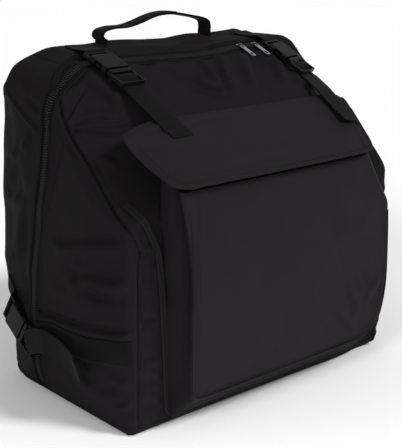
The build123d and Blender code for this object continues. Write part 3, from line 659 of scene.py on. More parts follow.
for sd in (-1, 1):
    cut_where(lambda c: c.x * sd > 205 and 250 < c.z < 440 and c.y < 45, (0, -150, 287.3), sn)
    cut_where(lambda c: c.x * sd > 205 and c.z < 330 and c.y < -90, (sd * 247, 0, 0), (sd, 0, 8.0 / 290))
cut_where(lambda c: c.y < -130 and 270 < c.z < 380, (0, -144, 0), (0, 1, 0))
cut_where(lambda c: c.y < -130 and 330 < c.z < 380, (0, 0, 357), (0, 0, 1))
for sd in (-1, 1):
    cut_where(lambda c: c.y > 120 and c.x * sd > 200, (sd * 236, 0, 0), (1, 0, 0))
cut_where(lambda c: c.y > 120 and c.z > 440, (0, 0, 470), (0, 0, 1))
cut_where(lambda c: c.y > 100, (0, 138, 0), (0, 1, 0))

bm.normal_update()
panel_of = {}
for f in bm.faces:
    c = f.calc_center_median() / MM
    s = c.y - float(zip_y(c.z))
    if c.z < 10.0:
        p = "base"
    elif s < -0.4:
        if s > -12.0:
            p = "tape_front"
        else:
            under = c.y * -0.597 + c.z * 0.802 < -150 * -0.597 + 287.3 * 0.802
            if under and abs(c.x) + 8.0 * c.z / 290 > 247:
                p = "left" if c.x < 0 else "right"
            elif under or (c.z < 357 and c.y < -144):
                p = "lower_front"
            else:
                p = "upper"
    elif s > 0.4 and c.z > 10.7:
        if s < 12.0:
            p = "tape_back"
        elif c.y > 138 and abs(c.x) < 236 and c.z < 470:
            p = "back"
        else:
            p = "rim"
    else:
        p = "drop"
    panel_of.setdefault(p, []).append(f.index)
bm.faces.ensure_lookup_table()
vco = np.array([v.co for v in bm.verts], float) / MM
vno = np.array([v.normal for v in bm.verts], float)
face_verts = {p: [[v.index for v in bm.faces[i].verts] for i in idx] for p, idx in panel_of.items()}
bm.free()
shell_bvh_src = (vco.copy(), [f for p in face_verts for f in face_verts[p]])
SHELL_BVH = BVHTree.FromPolygons([tuple(v) for v in vco], shell_bvh_src[1])
bpy.data.objects.remove(shell)


def on_shell(p, reach=60):
    """Nearest point of the soft shell and its outward normal, in mm."""
    loc, nor, _, _ = SHELL_BVH.find_nearest(Vector([float(c) for c in p]), reach)
    if loc is None:
        return np.array(p, float), np.array([0, 0, 1.0])
    return np.array(loc), np.array(nor)


def panel(name, key, slot, body, thick, sink=0.0, *nodes):
    F = face_verts.get(key, [])
    used = sorted({i for f in F for i in f})
    at = {v: k for k, v in enumerate(used)}
    V = vco[used] - vno[used] * sink
    o = new_object(name, V, [[at[i] for i in f] for f in F])
    # shading follows the whole shell, so a panel's edge doesn't show as a facet
    nn = vno[used]
    m = o.modifiers.new("thick", "SOLIDIFY")
    m.thickness = thick * MM
    m.offset = -1
    m.use_rim = True
    o.data.normals_split_custom_set_from_vertices([tuple(n) for n in nn])
    finish_piece(o, slot, body, *nodes)
    return o


panel("base_fabric", "base", "shell_fabric", "front_shell", 4.0, 0, "base_panel", "base_board")
panel("lower_front_fabric", "lower_front", "shell_fabric", "front_shell", 4.6, 0, "lower_front_panel", "lower_front_foam")
panel("left_side_fabric", "left", "shell_fabric", "front_shell", 4.6, 0, "left_side_panel", "side_foams")
panel("right_side_fabric", "right", "shell_fabric", "front_shell", 4.6, 0, "right_side_panel")
panel("slope_fabric", "upper", "shell_fabric", "front_shell", 4.6, 0, "upper_front_panel", "upper_front_foam")
panel("zipper_tape_front_cloth", "tape_front", "zipper_tape", "front_shell", 0.9, 1.1, "zipper_tape_front")
panel("zipper_tape_back_cloth", "tape_back", "zipper_tape", "back_lid", 0.9, 1.1, "zipper_tape_back")
panel("rim_fabric", "rim", "shell_fabric", "back_lid", 4.6, 0, "rim_panel", "rim_foams")
panel("back_fabric", "back", "back_fabric", "back_lid", 4.6, 0, "back_panel", "back_foam")

# ------------------------------------------------------------------ zipper coil along the cut
def zip_path(step=1.9):
    """Points of the zipper's centre line on the shell, from the left foot over the top to the right foot."""
    raw = []
    for z in np.arange(15, 486, 4.0):
        raw.append((-300, float(zip_y(z)), z))
    raw = [(-290, y, z) for _, y, z in raw]
    out = []
    for _, y, z in raw:
        hit = SHELL_BVH.ray_cast(Vector((-400, y, z)), Vector((1, 0, 0)))
        if hit[0] is not None:
            out.append((np.array(hit[0]), np.array(hit[1])))
    left = [p for p in out if p[0][0] < -200]
    top = []
    for x in np.arange(-232, 233, 4.0):
        z = 480.0
        for _ in range(14):
            y = float(zip_y(z))
            hit = SHELL_BVH.ray_cast(Vector((x, y, 620)), Vector((0, 0, -1)))
            if hit[0] is None:
                break
            z = 0.5 * z + 0.5 * hit[0][2]
        if hit[0] is not None:
            top.append((np.array(hit[0]), np.array(hit[1])))
    zt = top[0][0][2]
    left = [p for p in left if p[0][2] < zt - 2]
    right = []
    for z in np.arange(486, 14, -4.0):
        y = float(zip_y(z))
        hit = SHELL_BVH.ray_cast(Vector((400, y, z)), Vector((-1, 0, 0)))
        if hit[0] is not None and hit[0][0] > 200:
            right.append((np.array(hit[0]), np.array(hit[1])))
    zr = top[-1][0][2]
    right = [p for p in right if p[0][2] < zr - 2]
    allp = left + top + right
    P = np.array([p for p, _ in allp])
    Q = np.array([n for _, n in allp])
    for _ in range(6):
        P[1:-1] = (P[:-2] + 2 * P[1:-1] + P[2:]) / 4
        Q[1:-1] = (Q[:-2] + 2 * Q[1:-1] + Q[2:]) / 4
    L = np.concatenate([[0], np.cumsum(np.linalg.norm(P[1:] - P[:-1], axis=1))])
    t = np.arange(0, L[-1], step)
    P = np.stack([np.interp(t, L, P[:, k]) for k in range(3)], 1)
    Q = np.stack([np.interp(t, L, Q[:, k]) for k in range(3)], 1)
    Q /= np.linalg.norm(Q, axis=1)[:, None]
    return P, Q


ZP, ZN = zip_path()
ZT = np.gradient(ZP, axis=0)
ZT /= np.linalg.norm(ZT, axis=1)[:, None]
ZB = np.cross(ZN, ZT)           # across the zipper
ZB /= np.linalg.norm(ZB, axis=1)[:, None]
flip = np.sign(ZB[:, 1])[:, None]
flip[flip == 0] = 1
ZB = ZB * np.where((ZB[:, 1] < 0)[:, None], -1, 1)


def teeth(name, side, body, node_name):
    """Moulded coil: a small rounded tooth at every turn, reaching over the middle from its own tape."""
    verts, faces = [], []
    ring = [(-0.56, 0.0), (-0.46, 0.7), (-0.18, 1.0), (0.18, 1.0), (0.46, 0.7), (0.56, 0.0)]
    k = len(ring)
    spans = ((-0.8, 0.7), (0.2, 1.05), (2.2, 1.15), (4.7, 1.08), (5.8, 0.6))
    for i in range(3, len(ZP) - 3):
        if (i % 2 == 0) != (side > 0):
            continue
        c = ZP[i] - ZN[i] * 0.15
        for a, h in spans:
            for u, w in ring:
                verts.append(c + ZB[i] * side * a + ZT[i] * u * 1.9 + ZN[i] * w * 1.75 * h)
        b = len(verts) - k * len(spans)
        for j in range(len(spans) - 1):
            for q in range(k - 1):
                faces.append((b + j * k + q, b + j * k + q + 1, b + (j + 1) * k + q + 1, b + (j + 1) * k + q))
            faces.append((b + j * k, b + (j + 1) * k, b + (j + 1) * k + k - 1, b + j * k + k - 1))
        faces.append(tuple(b + q for q in range(k)))
        faces.append(tuple(b + (len(spans) - 1) * k + q for q in reversed(range(k))))
    o = new_object(name, verts, faces)
    b2 = bmesh.new()
    b2.from_mesh(o.data)
    bmesh.ops.recalc_face_normals(b2, faces=b2.faces)
    b2.to_mesh(o.data)
    b2.free()
    return finish_piece(o, "zipper_coil", body, node_name)


teeth("zipper_teeth_front", -1, "front_shell", "zipper_coil_front")
teeth("zipper_teeth_back", 1, "back_lid", "zipper_coil_back")


def sewn_roll(name, offset, radius, slot, body, lift=0.2, flat=0.75):
    """A folded fabric edge beside the zipper, following it at an offset."""
    path, ups = [], []
    for i in range(0, len(ZP), 3):
        p = ZP[i] + ZB[i] * offset
        q, nn = on_shell(p)
        path.append(q + nn * lift)
        ups.append(nn)
    path = np.array(path)
    ups = np.array(ups)
    for _ in range(4):
        path[1:-1] = (path[:-2] + 2 * path[1:-1] + path[2:]) / 4
        ups[1:-1] = (ups[:-2] + 2 * ups[1:-1] + ups[2:]) / 4
    o = tube(name, path, radius, 8, up=ups, flat=flat)
    return finish_piece(o, slot, body)


sewn_roll("zipper_welt_front", -13.2, 1.5, "shell_fabric", "front_shell")
sewn_roll("zipper_welt_back", 13.2, 1.5, "shell_fabric", "back_lid")

# fine ridges woven along each tape, beside the coil
for off, sl_body, tag in ((-8.3, "front_shell", "front_1"), (-10.8, "front_shell", "front_2"), (8.3, "back_lid", "back_1"), (10.8, "back_lid", "back_2")):
    sewn_roll("tape_ridge_" + tag, off, 0.85, "zipper_tape", sl_body, lift=-0.35, flat=0.8)


# the corded line that sews the coil down to each tape, in the darker webbing colour: a dark strip beside the coil that
# paints the shade in the gap there
sewn_roll("coil_cord_shade_front", -6.9, 0.85, "webbing", "front_shell", lift=0.1, flat=0.8)
sewn_roll("coil_cord_shade_back", 6.9, 0.85, "webbing", "back_lid", lift=0.1, flat=0.8)


def stitches(name, path, nrm, body, pitch=3.6, length=2.3, r=0.42, slot="binding_tape"):
    """A row of thread stitches lying on a surface, along a path."""
    path = np.asarray(path, float)
    nrm = np.asarray(nrm, float)
    if nrm.ndim == 1:
        nrm = np.tile(nrm, (len(path), 1))
    L = np.concatenate([[0], np.cumsum(np.linalg.norm(path[1:] - path[:-1], axis=1))])
    t = np.arange(1.0, L[-1] - length - 1.0, pitch)
    verts, faces = [], []
    for a in t:
        p = np.array([np.interp(a, L, path[:, k]) for k in range(3)])
        q = np.array([np.interp(a + length, L, path[:, k]) for k in range(3)])
        nn = np.array([np.interp(a, L, nrm[:, k]) for k in range(3)])
        nn /= np.linalg.norm(nn)
        d = q - p
        d /= np.linalg.norm(d)
        side = np.cross(d, nn)
        b = len(verts)
        for c, h, wd in ((p, 0.0, 0.5), (p + d * 0.4, 0.9, 0.8), ((p + q) / 2, 1.25, 1.0), (q - d * 0.4, 0.9, 0.8), (q, 0.0, 0.5)):
            verts += [c - side * r * wd - nn * 0.3, c - side * r * wd * 0.6 + nn * h * r, c + side * r * wd * 0.6 + nn * h * r, c + side * r * wd - nn * 0.3]
        for k in range(4):
            for j in range(3):
                a0 = b + k * 4 + j
                faces.append((a0, a0 + 1, a0 + 5, a0 + 4))
    if not faces:
        return None
    o = new_object(name, verts, faces)
    b4 = bmesh.new()
    b4.from_mesh(o.data)
    bmesh.ops.recalc_face_normals(b4, faces=b4.faces)
    b4.to_mesh(o.data)
    b4.free()
    return finish_piece(o, slot, body)


def seam_shade_line(name, pts, body):
    """Close thread stitches lying in the bottom of a sewn seam, in the darker webbing colour, so they paint the seam's
    shadow line.
    """
    path = spline(pts, 150)
    nn = np.array([on_shell(p)[1] for p in path])
    for _ in range(12):
        nn[1:-1] = (nn[:-2] + 2 * nn[1:-1] + nn[2:]) / 4
    nn /= np.linalg.norm(nn, axis=1)[:, None]
    q, m = [], []
    for p, v in zip(path, nn):
        hit = SHELL_BVH.ray_cast(Vector([float(c) for c in p + v * 14]), Vector([float(-c) for c in v]), 30)
        if hit[0] is not None:
            q.append(np.array(hit[0]) + v * 0.15)
            m.append(v)
    q, m = np.array(q), np.array(m)
    clear = np.min(np.linalg.norm(q[:, None, :] - ZP[None, :, :], axis=2), axis=1) > 17.5
    q, m = q[clear], m[clear]
    for _ in range(3):
        q[1:-1] = (q[:-2] + 2 * q[1:-1] + q[2:]) / 4
    return stitches(name, q, m, body, 3.4, 2.9, 0.62, "webbing")


# dark stitches in the seam bottoms paint the seams' shadow lines
for sd, tag in ((-1, "left"), (1, "right")):
    seam_shade_line("side_seam_shade_stitching_" + tag, [(sd * 252, -10, 410), (sd * 254, -17, 402), (sd * 254, -38, 384), (sd * 254, -64, 363), (sd * 255, -85, 343),
              (sd * 256, -101, 329), (sd * 256, -121, 311), (sd * 254, -137, 298), (sd * 250, -146, 287), (sd * 243, -149, 270), (sd * 239, -149, 256)], "front_shell")
    seam_shade_line("corner_seam_shade_stitching_" + tag, [(sd * 240, -149, 252), (sd * 243, -149, 227), (sd * 244, -149, 198), (sd * 245, -149, 141), (sd * 246, -149, 83), (sd * 247, -149, 20)], "front_shell")
    seam_shade_line("crown_seam_shade_stitching_" + tag, [(sd * 216, 45, 481), (sd * 230, 35, 467), (sd * 244, 19, 444), (sd * 251, 4, 425), (sd * 252, -8, 412)], "front_shell")


for off, sl_body, tag in ((-16.6, "front_shell", "front"), (16.6, "back_lid", "back")):
    pth, nrm_ = [], []
    for i in range(6, len(ZP) - 6, 2):
        q, nn = on_shell(ZP[i] + ZB[i] * off)
        pth.append(q + nn * 0.15)
        nrm_.append(nn)
    stitches("zipper_stitching_" + tag, pth, nrm_, sl_body)

# ------------------------------------------------------------------ pocket: an open-topped soft box
def outline3(poly, y):
    return [(x, y, z) for x, z in poly]


pk = hull(np.array(outline3(P_FACE, -197.0) + outline3(P_SEAM, -148.0)), "pocket_form")
remesh(pk, 3.4)
C = relax(pk, 9)
lw = smooth01((-C[:, 0] - 110) / 70)
C[:, 2] += 6.0 * np.exp(-((C[:, 2] - 36) / 26) ** 2) * smooth01((-C[:, 1] - 160) / 26)
lean = np.interp(C[:, 2], [0, 44, 127, 197, 264, 303, 338, 362], [5, 3, 6, 10, 9, 3, -6, -12])
C[:, 0] += lw * lean
lean = np.interp(C[:, 2], [0, 20, 60, 110, 160, 240, 300, 340], [5, 5, 5, 3, 0, -4, -3, 0])
C[:, 0] += smooth01((C[:, 0] - 110) / 70) * lean
set_coords(pk, C)
Nn = normals(pk)


def pocket_field(P, Nn):
    x, y, z = P.T
    out = np.zeros(len(P))
    face = smooth01((-Nn[:, 1] - 0.5) / 0.4)
    out += 1.4 * perlin(P / 80.0 + 1.3) + 0.55 * perlin(P / 34.0 + 8.8) + 0.12 * perlin(P / 12.0)
    out += face * 2.6 * np.exp(-(((x - 10) / 150) ** 2 + ((z - 170) / 130) ** 2))
    # stitched line just inside the face's edge
    e = [(-182, -197, 350), (-181, -197, 300), (-181, -197, 54), (154, -197, 54), (193, -197, 80), (210, -197, 152), (210, -197, 258), (160, -197, 335)]
    out += face * groove(P, e, 1.5, 1.1, 0.5)

    def fold(path, w, d, sk=0.0, ends=0.3):
        nonlocal out
        out = out + crease(P, Nn, path, w, d * 1.8, sk, ends)

    # long soft diagonals from the upper right to the lower left
    fold([(-160, -197, 330), (-120, -197, 240), (-60, -197, 180)], 22, 1.4, 0.5)
    fold([(-60, -197, 300), (20, -197, 220), (120, -197, 190)], 24, 1.2, -0.5)
    fold([(60, -197, 320), (120, -197, 250), (200, -197, 220)], 20, 1.2, 0.5)
    fold([(-176, -197, 110), (-100, -197, 90), (0, -197, 96)], 16, 1.0, 0.4)
    # small wrinkles in the lower right
    fold([(120, -197, 150), (142, -197, 120), (150, -197, 88)], 7, 1.5, 0.7)
    fold([(140, -197, 160), (162, -197, 132), (186, -197, 118)], 7, 1.5, -0.7)
    fold([(160, -197, 100), (180, -197, 120), (208, -197, 150)], 8, 1.3, 0.6)
    fold([(96, -197, 110), (120, -197, 92), (150, -197, 70)], 6, 1.1, 0.6)
    # drawn-in lines at the lower left corner
    fold([(-182, -197, 60), (-160, -197, 78), (-130, -197, 84)], 6, 1.0, 0.6)
    # the gusset falls in on itself behind the face's edge, most of all under the flap
    out += -6.5 * np.exp(-((y + 181) / 10) ** 2) * smooth01((z - 50) / 140) * smooth01((-x - 175) / 12)
    # gusset folds
    gus = smooth01((0.6 - np.abs(Nn[:, 1])) / 0.3) * (x < -150)
    for zc, a, wd in ((300, -1.2, 10), (262, 1.0, 9), (215, -1.0, 12), (176, 1.2, 9), (128, -1.0, 10), (92, 1.0, 8), (66, -0.8, 7)):
        out += gus * a * np.exp(-((z - zc) / wd) ** 2)
    return out


C = C + Nn * np.clip(pocket_field(C, Nn), -6.5, 4.5)[:, None]
set_coords(pk, C)
bm = bmesh.new()
bm.from_mesh(pk.data)
cut(bm, (0, -197 * MM, 346 * MM), Vector((0, -13, 47)).normalized())
cut(bm, (0, -150.6 * MM, 0), (0, 1, 0))
cut(bm, (0, -191.5 * MM, 0), (0, 1, 0))
bm.normal_update()
parts = {"gusset": [], "face": []}
pn = Vector((0, -13, 47)).normalized()
for f in bm.faces:
    c = f.calc_center_median() / MM
    if (c - Vector((0, -197, 346))).dot(pn) > 0 or c.y > -150.6:
        continue
    parts["face" if c.y < -191.5 else "gusset"].append([v.index for v in f.verts])
pv = np.array([v.co for v in bm.verts], float) / MM
pnn = np.array([v.normal for v in bm.verts], float)
PK_BVH = BVHTree.FromPolygons([tuple(v) for v in pv], parts["face"] + parts["gusset"])
bm.free()
bpy.data.objects.remove(pk)


def split(name, F, V, NN, slot, body, thick, *nodes):
    used = sorted({i for f in F for i in f})
    at = {v: k for k, v in enumerate(used)}
    o = new_object(name, V[used], [[at[i] for i in f] for f in F])
    m = o.modifiers.new("thick", "SOLIDIFY")
    m.thickness = thick * MM
    m.offset = -1
    o.data.normals_split_custom_set_from_vertices([tuple(n) for n in NN[used]])
    return finish_piece(o, slot, body, *nodes)


split("pocket_gusset_fabric", parts["gusset"], pv, pnn, "shell_fabric", "front_shell", 1.2, "pocket_gusset")
split("pocket_front_fabric", parts["face"], pv, pnn, "pocket_fabric", "front_shell", 1.4, "pocket_front", "pocket_front_binding")


def round_outline(poly, times=3):
    P = [np.array(p, float) for p in poly]
    for _ in range(times):
        Q = []
        for i in range(len(P)):
            a, b = P[i], P[(i + 1) % len(P)]
            Q += [a * 0.75 + b * 0.25, a * 0.25 + b * 0.75]
        P = Q
    return np.array(P)


# bound seam between the gusset and the front of the case: a flat ribbed tape, open along the top
ro = [(-246, 324), (-236, 308), (-222, 283), (-211, 258), (-206, 230), (-204.5, 200), (-203, 150), (-201, 90), (-199.5, 44), (-198, 28), (-191, 19.5),
      (-176, 16), (-100, 12), (60, 10), (186, 10), (214, 24), (230, 42), (240, 90), (244, 140), (242, 285), (222, 318)]
bind = spline([(x, -152.2, z) for x, z in ro], 420)
ts = np.gradient(bind, axis=0)
across = np.cross(ts, np.array([0, 1.0, 0]))
bl = []
for i, p in enumerate(bind):
    front = SHELL_BVH.ray_cast(Vector((float(p[0]), -400.0, float(p[2]))), Vector((0, 1, 0)))
    yy = front[0][1] - 1.3 if front[0] is not None and front[0][1] < -120 else p[1]
    bl.append(yy)
bl = np.array(bl)
for _ in range(12):
    bl[1:-1] = (bl[:-2] + 2 * bl[1:-1] + bl[2:]) / 4
bind[:, 1] = bl
tape = strap("pocket_seam_tape", bind, across, 10.5, 1.7, across=6)
finish_piece(tape, "binding_tape", "front_shell", "pocket_seam_binding")
# two rows of ribs stand along it
for off in (-3.2, 3.2):
    c = bind + across / np.linalg.norm(across, axis=1)[:, None] * off + np.array([0, -1.0, 0])
    c = spline(c[::3], 640)
    rad = 0.75 + 0.35 * np.sin(np.arange(len(c)) * 1.9)
    o = tube("pocket_seam_ribs_%d" % (1 if off < 0 else 2), c, rad, 6, up=np.tile([0, -1.0, 0], (len(c), 1)))
    finish_piece(o, "binding_tape", "front_shell")
# bound lower edge of the pocket face
pe = spline([(-194, -195.0, 318), (-190, -195.5, 300), (-186.5, -195.8, 264), (-186, -196, 200), (-187.5, -196.5, 127), (-188.5, -196.5, 90), (-188.5, -197, 62), (-182, -197.2, 52.5),
             (-150, -197.4, 50.0), (0, -197.6, 49.5), (120, -197.4, 49.5), (160, -197, 50.5), (190, -196.5, 64),
             (206.5, -196, 82), (217.5, -195.8, 130), (217.5, -195.5, 200), (215.2, -195, 250)], 260)
o = tube("pocket_edge_roll", pe, 1.7, 8, up=np.tile([0, -1.0, 0], (len(pe), 1)))
finish_piece(o, "pocket_fabric", "front_shell")

# ------------------------------------------------------------------ flap
fa = math.radians(FLAP_A)
FX = np.array([1.0, 0, 0])
FD = np.array([0, -math.cos(fa), -math.sin(fa)])       # down the flap
FN = np.array([0, -math.sin(fa), math.cos(fa)])        # out of the flap
FO = np.array([FLAP_CX, FLAP_Y, FLAP_Z])


def flap_edge(t):
    """Left and right ends (local x) at a share t of the way down."""
    l = np.interp(t, [0, 0.05, 0.55, 0.86, 0.95, 1.0], [-222, -226, -221, -214, -205, -190])
    r = np.interp(t, [0, 0.12, 0.3, 0.86, 0.96, 1.0], [214, 216, 212, 178, 168, 152])
    return l, r


NXF, NYF = ((190, 62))
uu = np.linspace(0, 1, NXF)
tt = np.linspace(0, 1, NYF)
verts = []
for t in tt:
    l, r = flap_edge(t)
    for u in uu:
        lx = l + (r - l) * u
        # lower edge bows down a little towards its middle and rises at the right
        dip = 21.0 * float(np.clip((-lx - 142) / 84, 0, 1)) ** 1.7 + 5.0 * float(np.clip((lx - 176) / 40, 0, 1)) ** 1.6
        d = -2.0 + dip + (FLAP_L + 3.2 - dip + 0.6 * math.sin(math.pi * u)) * t
        out = 1.4 + 3.0 * math.sin(math.pi * min(t * 1.1, 1)) * (0.5 + 0.5 * math.sin(math.pi * u))
        # the top is sewn down flat, the rest stands over the pocket
        out *= smooth01(np.array(t / 0.10)) if t < 0.1 else 1.0
        lf = np.clip((-lx - 168) / 58, 0, 1)
        out -= 7.5 * lf ** 1.7 * smooth01(np.array(t / 0.35))
        rf = np.clip((lx - 150) / 66, 0, 1)
        out -= 5.0 * rf ** 1.6 * smooth01(np.array(t / 0.35))
        out += 1.6 * t ** 3
        verts.append(FO + FX * lx + FD * d + FN * (out + 1.2))
verts = np.array(verts)
fn_ = np.tile(FN, (len(verts), 1))
fd = 0.7 * perlin(verts / 70 + 2) + 0.3 * perlin(verts / 26 + 9)


def fpt(lx, d):
    return FO + FX * lx + FD * d + FN * 3


for path, w, dep, sk in (([(-214, 8), (-150, 16), (-80, 8), (0, 5)], 6, 1.8, 0.8), ([(-206, 30), (-150, 46), (-110, 60)], 12, 1.4, 0.6),
                         ([(120, 20), (150, 50), (160, 84)], 12, -1.6, 0.0), ([(60, 40), (0, 60), (-80, 66)], 18, 1.0, -0.5),
                         ([(178, 20), (186, 52), (176, 84)], 8, 1.5, 0.5), ([(-190, 96), (-120, 104), (-40, 100), (60, 104)], 9, 0.8, 0.5),
                         ([(-150, 14), (-140, 34), (-142, 58)], 8, -1.0, 0.0)):
    fd += crease(verts, fn_, [fpt(*q) for q in path], w, dep, sk, 0.3)
# stitched line inside the bound edge
lpath = [fpt(x, d) for x, d in ((-214, 10), (-210, 75), (-203, 112), (-192, 127), (0, 128), (148, 127), (160, 118), (186, 60), (204, 30))]
fd += groove(verts, lpath, 1.3, 0.8, 0.4) + 0.0
weight = np.repeat(smooth01(tt / 0.06), NXF)
verts = verts + fn_ * (np.clip(fd, -1.6, 2.6) * weight)[:, None]
faces = []
for j in range(NYF - 1):
    for i in range(NXF - 1):
        a = j * NXF + i
        faces.append((a, a + NXF, a + NXF + 1, a + 1))
flap = new_object("pocket_flap_fabric", verts, faces)
b2 = bmesh.new()
b2.from_mesh(flap.data)
b2.normal_update()
if sum(f.normal.z for f in b2.faces) < 0:
    bmesh.ops.reverse_faces(b2, faces=b2.faces)
b2.to_mesh(flap.data)
b2.free()
m = flap.modifiers.new("thick", "SOLIDIFY")
m.thickness = 1.7 * MM
m.offset = -1
finish_piece(flap, "pocket_fabric", "flap", "pocket_flap")
G = verts.reshape(NYF, NXF, 3)
edge = np.vstack([G[3:, 0], G[-1, 1:-1], G[3:, -1][::-1]])
edge = spline(edge[::2], 420)
o = tube("flap_bound_edge", edge - FN * 0.6, 2.2, 8, up=np.tile(FN, (len(edge), 1)), flat=0.85)
finish_piece(o, "binding_tape", "flap", "flap_binding")

FLAP_BVH = BVHTree.FromPolygons([tuple(v) for v in verts], faces)
sp = spline([fpt(x, d) for x, d in ((-216, 14), (-212, 60), (-207, 104), (-198, 122), (-184, 130), (0, 132), (146, 131), (158, 122), (180, 70), (200, 34))], 300)
pth = []
for p in sp:
    h = FLAP_BVH.ray_cast(Vector([float(c) for c in p + FN * 40]), Vector([float(c) for c in -FN]))
    if h[0] is not None:
        pth.append(np.array(h[0]) + FN * 0.1)
stitches("flap_stitching", pth, FN, "flap")
sp = spline([(-178, -220, 330), (-176, -220, 200), (-179, -220, 64), (-172, -220, 58), (0, -220, 56), (148, -220, 57), (184, -220, 72), (203, -220, 110), (209, -220, 190), (208, -220, 250)], 300)
pth = []
for p in sp:
    h = PK_BVH.ray_cast(Vector([float(c) for c in p]), Vector((0, 1, 0)))
    if h[0] is not None:
        pth.append(np.array(h[0]) + np.array([0, -0.1, 0]))
stitches("pocket_stitching", pth, (0, -1.0, 0), "front_shell")

# the pocket's top hem, turned in under the flap, where the closure strip is sewn
prof = [(-190.5, 334.0), (-192.5, 342.0), (-194.0, 347.5), (-195.0, 351.0)]
for d in (124.5, 121.0, 115.0, 108.0, 100.5):
    q = FO + FD * d + FN * -4.1
    prof.append((q[1], q[2]))
hx = np.linspace(FLAP_CX - 150, FLAP_CX + 150, 41)
hv = [(x, y + 0.25 * math.sin(x / 21.0), z) for y, z in prof for x in hx]
hf = [(i * 41 + j, i * 41 + j + 1, (i + 1) * 41 + j + 1, (i + 1) * 41 + j) for i in range(len(prof) - 1) for j in range(40)]
hm = new_object("pocket_mouth_hem", hv, hf)
b2 = bmesh.new()
b2.from_mesh(hm.data)
b2.normal_update()
if sum(f.normal.z for f in b2.faces) < 0:
    bmesh.ops.reverse_faces(b2, faces=b2.faces)
b2.to_mesh(hm.data)
b2.free()
m = hm.modifiers.new("thick", "SOLIDIFY")
m.thickness = 1.2 * MM
m.offset = -1
finish_piece(hm, "pocket_fabric", "front_shell")

# ------------------------------------------------------------------ straps
PLAN_L, PLAN_R = math.radians(8.0), math.radians(18.0)
BUCKLE = {
    "left": (np.array([-161.0, 38.0, 490.4]), np.array([0.125616, -0.893801, -0.430511]), np.array([math.cos(PLAN_L), math.sin(PLAN_L), 0.0])),
    "right": (np.array([190.0, 36.0, 483.6]), np.array([0.262061, -0.806542, -0.529919]), np.array([math.cos(PLAN_R), math.sin(PLAN_R), 0.0])),
}


def top_tail(side, plan2, roll, run, up1, up2, twist, seed, shift=0.0):
    """From the plug's bar down through its frame, under the frame's end and on to the flap."""
    O, u, v = BUCKLE[side]
    w = np.cross(u, v)
    p2, rl = math.radians(plan2), math.radians(roll)
    h = np.array([math.sin(p2), -math.cos(p2), 0])
    wd = np.array([math.cos(p2) * math.cos(rl), math.sin(p2) * math.cos(rl), -math.sin(rl)])
    start = [O + u * a + w * c for a, c in ((49.5, 6.2), (53.5, 7.4), (57.5, 7.2), (61.0, 5.4), (65.5, 2.6), (71.5, 0.6))]
    o = O + u * 57.0
    tf = math.tan(fa)

    def at(s, over):
        p = o + h * s + v * shift
        return np.array([p[0], p[1], FLAP_Z - (FLAP_Y - p[1]) * tf + over])

    s1 = (o[1] - (FLAP_Y + 6.0)) / math.cos(p2)
    k = start[-1]
    mid = 0.5 * (k + at(s1, up1))
    rest = [mid, at(s1, up1), at((s1 + run) / 2, 0.5 * (up1 + up2) + 0.4), at(run, up2)]
    path = spline(start + rest, 130)
    n = len(path)
    L = np.concatenate([[0], np.cumsum(np.linalg.norm(path[1:] - path[:-1], axis=1))])
    mix = smooth01((L - 14) / 46.0)[:, None]
    W = v * (1 - mix) + wd * mix + np.outer(twist * (L / L[-1]) ** 2, -np.array([0, 0, 1.0]))
    st = strap(side + "_top_tail_webbing", path, W, 38.0, 1.8, wave=0.3, seed=seed, cup=-0.3)
    if not st.data.materials:
        st.data.materials.append(MAT["webbing"])
    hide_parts(side + "_top_strap_tail")
    b0, b1 = (O + u * 57.0) * MM, (O + u * 57.0 + h * 24.0 + u * 0.0) * MM
    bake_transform(st)
    # the sewn webbing that holds the plug, under the loose end
    Tg = np.gradient(path, axis=0)
    up_n = np.cross(Tg, W)
    up_n /= np.linalg.norm(up_n, axis=1)[:, None]
    up_n *= np.where(up_n[:, 2:3] < 0, -1.0, 1.0)
    idx = [i for i in range(n) if (path[i] - O) @ u > 73 and path[i][1] > FLAP_Y + 7.5]
    under = [O + u * 56.5 + w * 0.8, O + u * 62.0 - w * 1.2, O + u * 67.5 - w * 2.4] + [path[i] - up_n[i] * 2.5 for i in idx[::4]]
    apath = spline(under, 60)
    sh = np.linspace(0, 1, len(apath))[:, None]
    Wa = v * (1 - smooth01(sh * 1.3)) + W[idx[-1]] * smooth01(sh * 1.3)
    an = strap(side + "_top_anchor_webbing", apath, Wa, 36.6, 1.3)
    if side == "left":
        finish_piece(an, "webbing", "front_shell", "top_strap_anchors")
    else:
        finish_piece(an, "webbing", "front_shell")
    q = int(n * 0.905)
    nn = np.cross(path[-1] - path[-3], W[-1])
    nn /= np.linalg.norm(nn)
    nn = nn if nn[2] > 0 else -nn
    hem = strap(side + "_top_tail_hem", path[q:] + nn * 1.7, W[q:], 37.4, 1.7, cup=-0.3)
    finish_piece(hem, "webbing", side + "_top_tail")
    return path


top_tail("left", 3.0, 0.0, 117.0, 6.4, 5.2, 0.0, 1)
top_tail("right", -11.0, 12.0, 145.0, 6.6, 6.4, 0.18, 2, -8.0)

